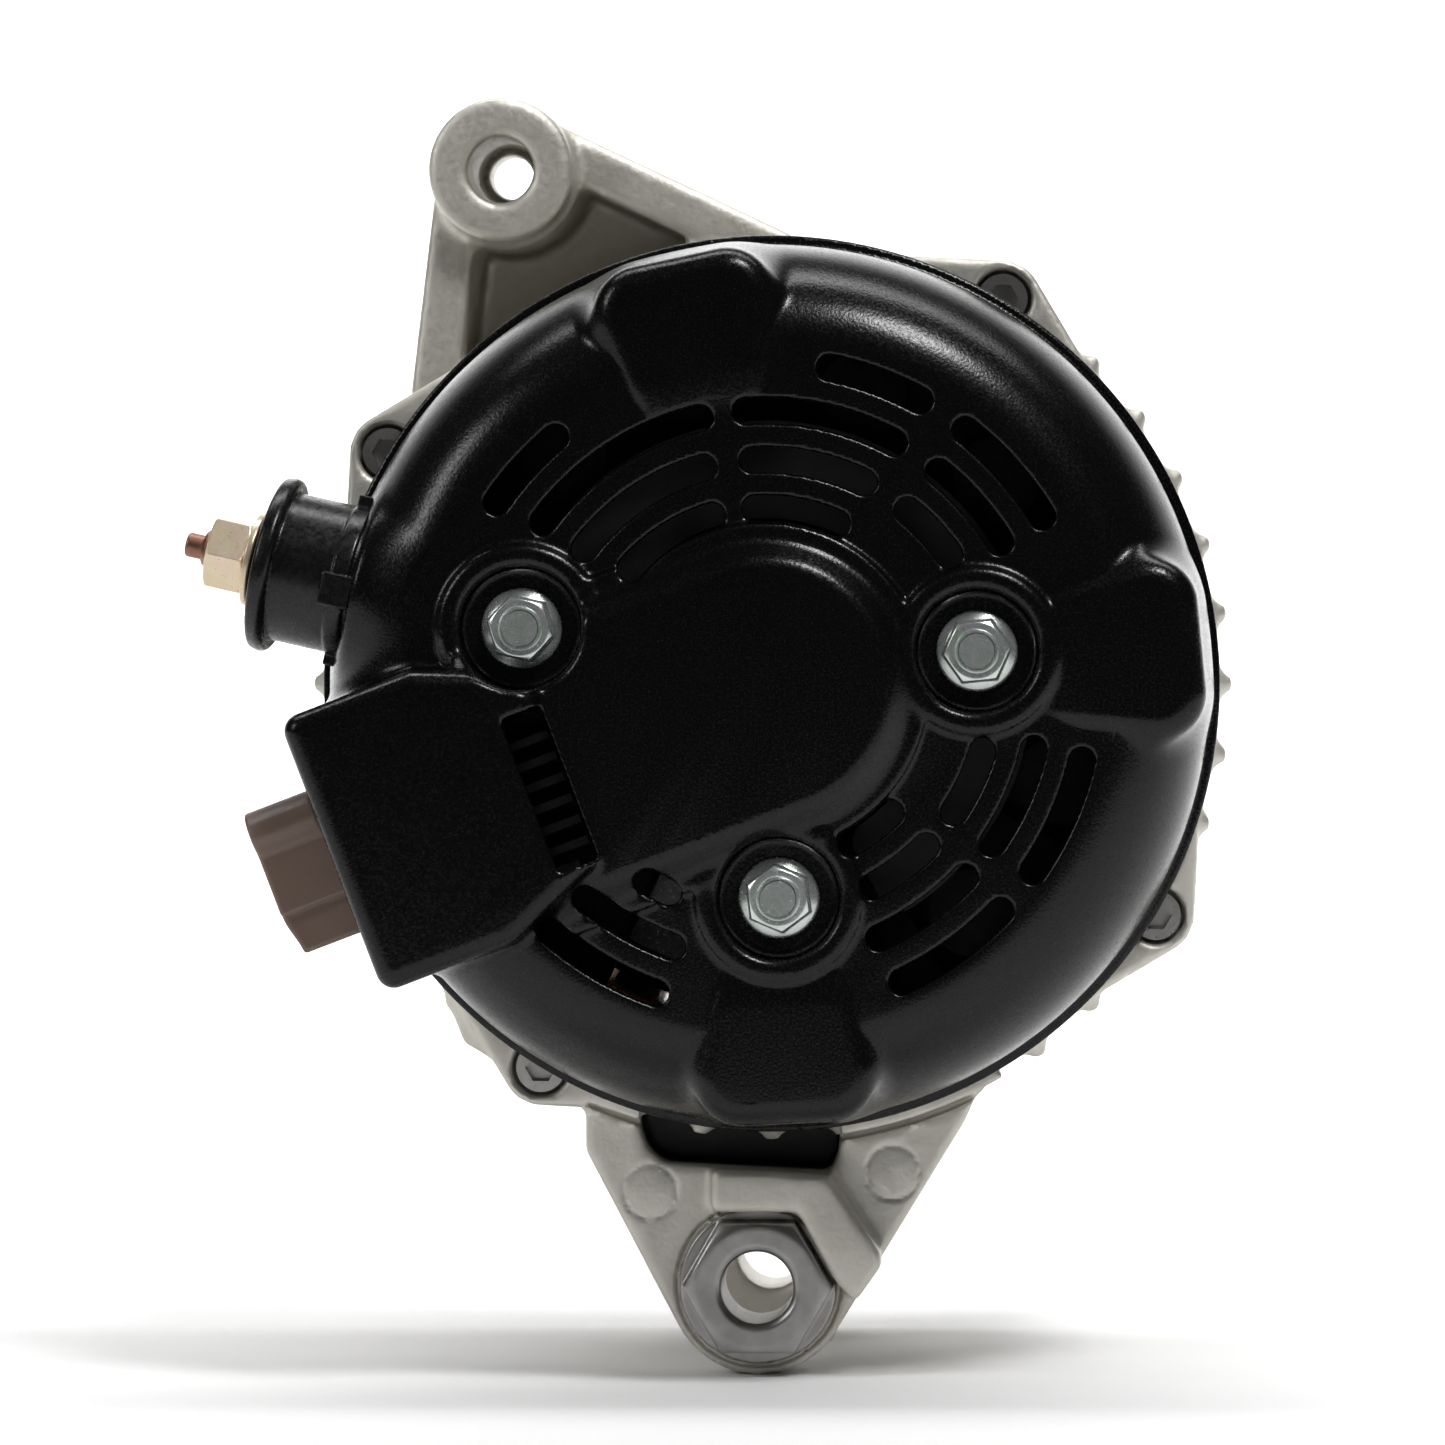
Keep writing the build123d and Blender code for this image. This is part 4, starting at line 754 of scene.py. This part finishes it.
def hex_reach(x, y, turn=0.0):
    """Distance across the flats of a hexagon, halved."""
    best = None
    for k in range(3):
        angle = turn + math.pi * k / 3
        face = np.abs(x * math.cos(angle) + y * math.sin(angle))
        best = face if best is None else np.maximum(best, face)
    return best


CREASE = (0.5, 0.866)  # outward and endward parts of the normal of a nut's turned chamfer
BEVEL = 0.707  # both parts of the normal of a chamfer at 45 degrees
THREAD_SLOPE = 0.8  # share of a distance left once the thread's flanks are sloped


def threaded(x, y, along, radius, pitch, depth):
    """Distance to a rod with a right-hand thread along its axis."""
    turns = along / pitch - np.arctan2(y, x) / (2 * math.pi)
    saw = np.abs(turns - np.round(turns)) * 2
    return (np.hypot(x, y) - radius + depth * saw) * THREAD_SLOPE


FLANGE_R = 5.8
FLANGE_SLOPE = 0.45
FLANGE_TOP = 1.35
FLANGE_TOP_R = 4.6
NUT_HALF_FLATS = 4.15
NUT_HEIGHT = 4.9
NUT_CHAMFER_R = 4.0
NUT_BORE_R = 2.55
NUT_FLARE = 4.35  # height from which the bore widens


def flange_nut(turn):
    """Points and quads of a serrated flange nut seated at height 0 and facing up the third axis."""
    field = Field((-6.4, -6.4, -0.6), (6.4, 6.4, 5.6), 0.13)

    def change(value, x, y, z):
        reach = np.hypot(x, y)
        cone = meet(reach - FLANGE_R, (reach - FLANGE_TOP_R) * FLANGE_SLOPE + z - FLANGE_TOP, 0.25)
        flange = np.maximum(cone, -z)
        head = meet(hex_reach(x, y, turn) - NUT_HALF_FLATS, z - NUT_HEIGHT, 0.12)
        head = meet(head, (reach - NUT_CHAMFER_R) * CREASE[0] + (z - NUT_HEIGHT) * CREASE[1], 0.1)
        head = np.maximum(head, 0.3 - z)
        body = join(flange, head, 0.35)
        bore = reach - NUT_BORE_R - np.maximum(z - NUT_FLARE, 0)
        return meet(body, -bore, 0.08)

    field.apply(change)
    return field.surface()


STUD_THREAD_R = 2.48
STUD_PITCH = 0.8
STUD_THREAD_DEPTH = 0.32
STUD_TIP = 6.1
STUD_TIP_R = 1.6
STUD_DOME_R = 8.9
STUD_DOME_CENTRE = -2.6
STUD_ROOT = -1.2


def stud_end():
    """Points and quads of the stud's threaded end."""
    field = Field((-2.9, -2.9, -2.0), (2.9, 2.9, 7.0), 0.1)

    def change(value, x, y, z):
        rod = threaded(x, y, z, STUD_THREAD_R, STUD_PITCH, STUD_THREAD_DEPTH)
        reach = np.hypot(x, y)
        chamfer = (reach - STUD_TIP_R + (z - STUD_TIP)) * BEVEL
        dome = np.hypot(reach, z - STUD_DOME_CENTRE) - STUD_DOME_R
        return np.maximum(meet(np.maximum(rod, chamfer), dome, 0.1), STUD_ROOT - z)

    field.apply(change)
    return field.surface()


def on_studs(shapes):
    """Shapes that face up the third axis, set on the cover's three studs facing the rear."""
    points, faces, count = [], [], 0
    for (x, z), (shape, quads) in zip(STUD_SITES, shapes):
        points.append(np.stack([shape[:, 0] + x, DISH_FLOOR - shape[:, 2], shape[:, 1] + z], axis=1))
        faces.append(quads + count)
        count += len(shape)
    return np.concatenate(points), np.concatenate(faces)


NUT_TURNS = [0.30, 0.62, 0.12]
points, quads = on_studs([flange_nut(turn) for turn in NUT_TURNS])
piece("cover_flange_nuts", points, quads, "bright_zinc", "housing", ["rear_cover_nuts"], 120000)
points, quads = on_studs([stud_end()] * 3)
piece("cover_stud_ends", points, quads, "bright_zinc", "housing", [], 60000)

# ---------------------------------------------------------------- lower mount

LOWER_EAR = (-2.0, -87.8)
REAR_EAR_REAR = -102.0
BUSH_SEAT_R = 11.75
BUSH_GAP_FLOOR = -101.2
BUSH_FLANGE_R = 11.4
BUSH_HALF_FLATS = 9.5
BUSH_TURN = math.radians(30)
BUSH_CHAMFER_R = 9.1
BUSH_SLEEVE_R = 8.0
BUSH_BORE_R = 5.25
# Its stations, counted toward the rear
BUSH_FRONT = 88.0
BUSH_FLANGE_FRONT = 101.8
BUSH_HEAD_FRONT = 102.5
BUSH_SEAT = 103.0
BUSH_FLARE = 107.3
BUSH_REAR = 108.0


def nut_bush():
    """Round-flanged hexagonal nut whose sleeve sits in the rear frame's ear."""
    field = Field((-12.4, -12.4, 87.5), (12.4, 12.4, 109), 0.28)

    def change(value, x, y, z):
        reach = np.hypot(x, y)
        flange = meet(reach - BUSH_FLANGE_R, slab(z, BUSH_FLANGE_FRONT, BUSH_SEAT), 0.25)
        flats = hex_reach(x, y, BUSH_TURN) - BUSH_HALF_FLATS
        head = meet(flats, slab(z, BUSH_HEAD_FRONT, BUSH_REAR), 0.25)
        head = meet(head, (reach - BUSH_CHAMFER_R) * CREASE[0] + (z - BUSH_REAR) * CREASE[1], 0.3)
        sleeve = meet(reach - BUSH_SLEEVE_R, slab(z, BUSH_FRONT, BUSH_SEAT), 0.3)
        body = join(join(flange, head, 0.3), sleeve, 0.1)
        bore = reach - BUSH_BORE_R - np.maximum(z - BUSH_FLARE, 0)
        return meet(body, -bore, 0.25)

    field.apply(change)
    points, quads = field.surface()
    points = np.stack([points[:, 0] + LOWER_EAR[0], -points[:, 2], points[:, 1] + LOWER_EAR[1]], axis=1)
    piece("mount_nut_bush", points, quads, "bush_steel", "housing", ["lower_mount_nut_bush"], 60000)


nut_bush()

# ---------------------------------------------------------------- cast frames


def cast_piece(node, convex, concave, step, details):
    """The CAD node as a casting: outer edges rounded, inner corners filleted, then sharper details added."""
    mesh = frame["nodes"][node].data
    points = np.empty(len(mesh.vertices) * 3, np.float32)
    mesh.vertices.foreach_get("co", points)
    points = points.reshape(-1, 3) / MM
    mesh.calc_loop_triangles()
    faces = np.empty(len(mesh.loop_triangles) * 3, np.int32)
    mesh.loop_triangles.foreach_get("vertices", faces)
    faces = faces.reshape(-1, 3)
    kind = "triangles"
    spacing = openvdb.createLinearTransform(voxelSize=step)
    for offset in (-convex, convex + concave, -concave):
        width = abs(offset) / step + 2
        grid = openvdb.FloatGrid.createLevelSetFromPolygons(
            points, transform=spacing, halfWidth=width, **{kind: faces}
        )
        points, faces = grid.convertToQuads(offset)
        kind = "quads"
    grid = openvdb.FloatGrid.createLevelSetFromPolygons(points, quads=faces, transform=spacing, halfWidth=4)
    for change, low, high in details:
        first = [int(math.floor(value / step)) for value in low]
        count = [int(math.ceil(value / step)) - start for value, start in zip(high, first)]
        block = np.empty(count, np.float32)
        grid.copyToArray(block, ijk=first)
        x, y, z = ((start + np.arange(n)) * step for start, n in zip(first, count))
        block[:] = change(block, x[:, None, None], y[None, :, None], z[None, None, :])
        grid.copyFromArray(block, ijk=first)
    points, faces = grid.convertToQuads(0.0)
    return piece(node + "_casting", points, faces, "cast_aluminium", "housing", [node], MOST_TRIANGLES)


RIM_LEDGE_R = 65.2
RIM_GROOVE_R = 66.9
RIM_GROOVE_FLOOR = -99.5
RIM_ARC = (273.5, 27.0)  # middle and half width, in degrees
EAR_POCKET_X = (-19.3, 10.0)


def rim_ledge(value, x, y, z):
    """Rim of the rear frame standing proud of the lower ear's plate, with a fine groove outside it."""
    radius = np.hypot(x, z)
    angle = np.degrees(np.arctan2(z, x)) % 360
    beyond = np.radians(np.abs(angle - RIM_ARC[0]) - RIM_ARC[1]) * radius
    opened = (x > EAR_POCKET_X[0]) & (x < EAR_POCKET_X[1])
    ledge = meet(np.abs(radius - RIM_LEDGE_R) - 1.1, slab(y, REAR_FACE + 0.1, REAR_FACE + 5), 0.25)
    ledge = np.where(opened, 5.0, np.maximum(ledge, beyond))
    groove = np.maximum(np.abs(radius - RIM_GROOVE_R) - 0.5, y - RIM_GROOVE_FLOOR)
    groove = np.maximum(groove, beyond)
    return np.maximum(join(value, ledge, 0.2), -groove)


def bush_seat(value, x, y, z):
    """Fine gap round the bush's flange."""
    reach = np.hypot(x - LOWER_EAR[0], z - LOWER_EAR[1])
    return np.maximum(value, -np.maximum(np.abs(reach - BUSH_SEAT_R) - 0.3, y - BUSH_GAP_FLOOR))


def core_mark(place, radius):
    """Shallow ring that a core pin leaves in the ear's plate."""

    def change(value, x, y, z):
        reach = np.hypot(x - place[0], z - place[1])
        ring = np.hypot(reach - radius, y - REAR_EAR_REAR) - 0.32
        return np.maximum(value, -ring)

    return change


CORE_MARK_R = 3.9
# Change to the rear casting, with the corners of the block that it reaches
REAR_DETAILS = [
    (rim_ledge, (-38, -107, -72), (36, -96, -50)),
    (bush_seat, (-16, -104, -102), (12, -99, -74)),
    (core_mark((-17.8, -74.2), CORE_MARK_R), (-23, -104, -81), (-12, -100, -69)),
    (core_mark((17.6, -71.3), CORE_MARK_R), (12, -104, -77), (23, -100, -65)),
]
cast_piece("drive_end_frame", 0.8, 0.8, 0.5, [])
cast_piece("rear_frame", 0.6, 0.7, 0.45, REAR_DETAILS)

# ---------------------------------------------------------------- output terminal

OUTPUT_SEAT = 1.4  # where the washer lies, from the insulator's outer face
TOWARD_VIEWER = np.array([0.0, -1.0, 0.0])
OUTPUT_SIDE = TOWARD_VIEWER - OUTPUT_AXIS * np.dot(TOWARD_VIEWER, OUTPUT_AXIS)
OUTPUT_SIDE = OUTPUT_SIDE / np.linalg.norm(OUTPUT_SIDE)
OUTPUT_UP = np.cross(OUTPUT_AXIS, OUTPUT_SIDE)
if OUTPUT_UP[2] < 0:
    OUTPUT_UP = -OUTPUT_UP


def on_output(name, change, half, ends, step, slot, replaced, most):
    """Piece from a field whose axes are toward the viewer, up, and out along the terminal."""
    field = Field((-half, -half, ends[0]), (half, half, ends[1]), step)
    field.apply(change)
    points, quads = field.surface()
    points = OUTPUT_FLANGE + points @ np.stack([OUTPUT_SIDE, OUTPUT_UP, OUTPUT_AXIS])
    piece(name, points, quads, slot, "housing", [replaced], most)


INSULATOR_R = 10.8
INSULATOR_ENDS = (-19.0, -1.0)
INSULATOR_RIM_R = 12.6
INSULATOR_RIM_ENDS = (-2.3, 0.0)
INSULATOR_DISH_R = 10.2
INSULATOR_DISH_FLOOR = -0.7
INSULATOR_SEAT_R = 6.4
LIP_R = 11.7
LIP_PLACE = -1.7
LIP_HALF = 0.95
COLLAR_R = 11.15
COLLAR_ENDS = (-13.9, -11.4)
KEY_ENDS = (-14.8, -10.4)
POCKET_ENDS = (-18.4, -14.7)
OUTPUT_BORE_R = 3.1


def brick(x, y, z, middle, half, ends):
    """Block about a middle across the terminal, between two places along it."""
    across = np.maximum(np.abs(x - middle[0]) - half[0], np.abs(y - middle[1]) - half[1])
    return np.maximum(across, slab(z, *ends))


def output_insulator(value, x, y, z):
    """Spool with a dished rim, and a collar, tabs, a key and a pocket at its root."""
    reach = np.hypot(x, y)
    body = meet(reach - INSULATOR_R, slab(z, *INSULATOR_ENDS), 0.3)
    rim = meet(reach - INSULATOR_RIM_R, slab(z, *INSULATOR_RIM_ENDS), 0.8)
    lip = np.hypot(reach - LIP_R, z - LIP_PLACE) - LIP_HALF
    body = join(join(rim, lip, 0.4), body, 0.2)
    dish = meet(reach - INSULATOR_DISH_R, INSULATOR_DISH_FLOOR - z, 0.5)
    body = meet(body, -dish, 0.3)
    seat = meet(reach - INSULATOR_SEAT_R, slab(z, -2.0, OUTPUT_SEAT), 0.3)
    body = join(body, seat, 0.3)
    collar = meet(reach - COLLAR_R, slab(z, *COLLAR_ENDS), 0.15)
    tabs = brick(x, np.abs(y), z, (0.0, 11.0), (2.5, 1.5), COLLAR_ENDS)
    key = brick(x, y, z, (10.4, -1.6), (1.5, 2.3), KEY_ENDS)
    body = join(body, np.minimum(np.minimum(collar, tabs), key), 0.15)
    pocket = np.maximum(np.maximum(np.abs(y - 4.6) - 2.9, 9.0 - x), slab(z, *POCKET_ENDS))
    body = meet(body, -pocket, 0.15)
    return meet(body, -(reach - OUTPUT_BORE_R), 0.1)


OUTPUT_NUT_HALF_FLATS = 5.0
OUTPUT_NUT_CHAMFER_R = 5.05
OUTPUT_NUT_BORE_R = 3.05
OUTPUT_NUT_TURN = math.radians(24)
OUTPUT_NUT_ENDS = (OUTPUT_SEAT + 1.1, OUTPUT_SEAT + 7.0)
OUTPUT_WASHER_R = 6.8
OUTPUT_WASHER_BORE_R = 3.15
OUTPUT_WASHER_THICK = 1.0
OUTPUT_THREAD_R = 2.98
OUTPUT_PITCH = 1.0
OUTPUT_THREAD_DEPTH = 0.4
OUTPUT_CHAMFER_R = 2.3
OUTPUT_THREAD_END = 9.6
OUTPUT_POINT_R = 1.78
OUTPUT_TIP = 12.2
OUTPUT_ROOT = -17.0


def output_nut(value, x, y, z):
    """Hexagon nut, chamfered at both ends."""
    reach = np.hypot(x, y)
    low, high = OUTPUT_NUT_ENDS
    shape = meet(hex_reach(x, y, OUTPUT_NUT_TURN) - OUTPUT_NUT_HALF_FLATS, slab(z, low, high), 0.12)
    for end, sign in ((high, 1), (low, -1)):
        chamfer = (reach - OUTPUT_NUT_CHAMFER_R) * CREASE[0] + sign * (z - end) * CREASE[1]
        shape = meet(shape, chamfer, 0.12)
    bore = reach - OUTPUT_NUT_BORE_R - np.maximum(z - high + 0.5, 0)
    return meet(shape, -bore, 0.1)


def output_washer(value, x, y, z):
    reach = np.hypot(x, y)
    ring = meet(reach - OUTPUT_WASHER_R, slab(z, OUTPUT_SEAT, OUTPUT_SEAT + OUTPUT_WASHER_THICK), 0.2)
    return meet(ring, -(reach - OUTPUT_WASHER_BORE_R), 0.1)


def output_stud(value, x, y, z):
    """Threaded stud with a dog point."""
    reach = np.hypot(x, y)
    rod = threaded(x, y, z, OUTPUT_THREAD_R, OUTPUT_PITCH, OUTPUT_THREAD_DEPTH)
    rod = np.maximum(rod, z - OUTPUT_THREAD_END)
    rod = meet(rod, (reach - OUTPUT_CHAMFER_R + (z - OUTPUT_THREAD_END)) * BEVEL, 0.1)
    point = meet(reach - OUTPUT_POINT_R, z - OUTPUT_TIP, 0.45)
    return np.maximum(np.minimum(rod, point), OUTPUT_ROOT - z)


on_output(
    "terminal_insulator",
    output_insulator,
    half=13.2,
    ends=(-19.6, 2.0),
    step=0.22,
    slot="insulator_plastic",
    replaced="output_insulator",
    most=120000,
)
on_output(
    "terminal_nut",
    output_nut,
    half=6.2,
    ends=(2.0, 8.9),
    step=0.14,
    slot="yellow_zinc",
    replaced="output_nut",
    most=50000,
)
on_output(
    "terminal_washer",
    output_washer,
    half=7.2,
    ends=(1.0, 2.8),
    step=0.16,
    slot="yellow_zinc",
    replaced="output_washer",
    most=40000,
)
on_output(
    "terminal_stud",
    output_stud,
    half=3.4,
    ends=(-17.6, 12.6),
    step=0.12,
    slot="copper_plated_steel",
    replaced="output_bolt",
    most=80000,
)

# ---------------------------------------------------------------- plug socket

PLUG_ENDS = (62.2, 76.7)
PLUG_MOUTH_SLOPE = 1.1  # how far the mouth falls back at its lower end
PLUG_STEP = 4.8  # across the socket, where it steps down
PLUG_STEP_HEIGHT = 5.2
RIDGE_MIDDLE = (3.6, 5.6)  # from the socket's upper end, and above its middle
RIDGE_R = 2.7
RIDGE_ROOT = 66.3
CAVITY_ROOT = 64.5
CAVITY_DROP = 0.3
PLUG_WALL = (1.9, 2.0)  # at its ends, and at its long sides


def plug_socket(value, x, y, z):
    """Socket over (out along the brush line, across it, toward the viewer)."""
    across = y - PLUG_V
    height = z + PLUG_Y
    half = PLUG_WIDTH / 2
    body = meet(np.abs(across) - half, np.abs(height) - PLUG_THICK / 2, 2.2)
    ridge = np.hypot(across + half - RIDGE_MIDDLE[0], height - RIDGE_MIDDLE[1]) - RIDGE_R
    ridge = meet(ridge, RIDGE_ROOT - x, 0.8)
    body = join(body, ridge, 0.9)
    cut = np.maximum(PLUG_STEP - across, PLUG_STEP_HEIGHT - height)
    body = meet(body, -cut, 0.4)
    reach = PLUG_ENDS[1] - PLUG_MOUTH_SLOPE * ease(across, PLUG_STEP, half)
    body = meet(body, np.maximum(x - reach, PLUG_ENDS[0] - x), 0.5)
    ends = np.abs(across) - half + PLUG_WALL[0]
    sides = np.abs(height + CAVITY_DROP) - PLUG_THICK / 2 + PLUG_WALL[1]
    inner = meet(ends, sides, 1.5)
    return meet(body, -np.maximum(inner, CAVITY_ROOT - x), 0.3)


def regulator_socket():
    """The socket's shell, set along the brush line."""
    field = Field((61.5, PLUG_V - 12.2, 113), (77.6, PLUG_V + 12.2, 131), 0.25)
    field.apply(plug_socket)
    points, quads = field.surface()
    out = np.array([math.cos(BRUSH_ANGLE), 0.0, math.sin(BRUSH_ANGLE)])
    side = np.array([-math.sin(BRUSH_ANGLE), 0.0, math.cos(BRUSH_ANGLE)])
    points = points @ np.stack([out, side, TOWARD_VIEWER])
    piece("plug_shell", points, quads, "connector_plastic", "housing", ["regulator_connector"], 80000)


regulator_socket()

# ---------------------------------------------------------------- stage

FLOOR_Z = cad_box[0][2]
FLOOR_FRONT = -0.5
SWEEP_START = 1.6
SWEEP_R = 0.8
SWEEP_STEPS = 12
BACKDROP_TOP = 4.5
SHEET_HALF = 4
WORLD_STRENGTH = 0.045


def stage_sheet():
    """Floor that sweeps up into a backdrop."""
    profile = [(FLOOR_FRONT, 0.0)]
    for k in range(SWEEP_STEPS + 1):
        angle = math.radians(90 * k / SWEEP_STEPS)
        profile.append((SWEEP_START + SWEEP_R * math.sin(angle), SWEEP_R - SWEEP_R * math.cos(angle)))
    profile.append((SWEEP_START + SWEEP_R, BACKDROP_TOP))
    points = [(x, y, z + FLOOR_Z) for y, z in profile for x in (-SHEET_HALF, SHEET_HALF)]
    faces = [(2 * k, 2 * k + 1, 2 * k + 3, 2 * k + 2) for k in range(len(profile) - 1)]
    mesh = bpy.data.meshes.new("floor")
    mesh.from_pydata(points, [], faces)
    mesh.shade_smooth()
    made = bpy.data.objects.new("floor", mesh)
    bpy.context.scene.collection.objects.link(made)
    paper = Finish("paper", roughness=0.9)
    paper.colour(paper.blend(paper.noise(40), (0.90, 0.90, 0.90, 1), (0.92, 0.92, 0.92, 1)))
    mesh.materials.append(paper.material)
    made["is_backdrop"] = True


def area_light(name, place, size, power, aim=(0, -0.08, 0), spread=180):
    """Rectangular light aimed at a place, whose cone is spread degrees wide."""
    data = bpy.data.lights.new(name, "AREA")
    data.spread = math.radians(spread)
    data.shape = "RECTANGLE"
    data.size, data.size_y = size
    data.energy = power
    made = bpy.data.objects.new(name, data)
    bpy.context.scene.collection.objects.link(made)
    made.location = place
    made.rotation_euler = (Vector(aim) - made.location).to_track_quat("-Z", "Y").to_euler()


stage_sheet()
area_light("key", place=(0.38, -0.78, 1.0), size=(0.3, 0.3), power=10)
area_light("left", place=(-1.1, -0.75, 0.6), size=(0.3, 0.5), power=3.8)
area_light("backdrop", place=(0.0, 0.5, 2.2), size=(3.0, 1.2), power=95, aim=(0, 2.2, 0.2), spread=130)
world = bpy.data.worlds.new("studio")
world.use_nodes = True
sky = world.node_tree.nodes["Background"]
sky.inputs["Color"].default_value = (1, 1, 1, 1)
sky.inputs["Strength"].default_value = WORLD_STRENGTH
bpy.context.scene.world = world
bpy.context.scene.view_settings.view_transform = "Standard"

plain = lambda box: [list(map(float, corner)) for corner in box]
{"cad": plain(cad_box), "visual": plain(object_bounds())}
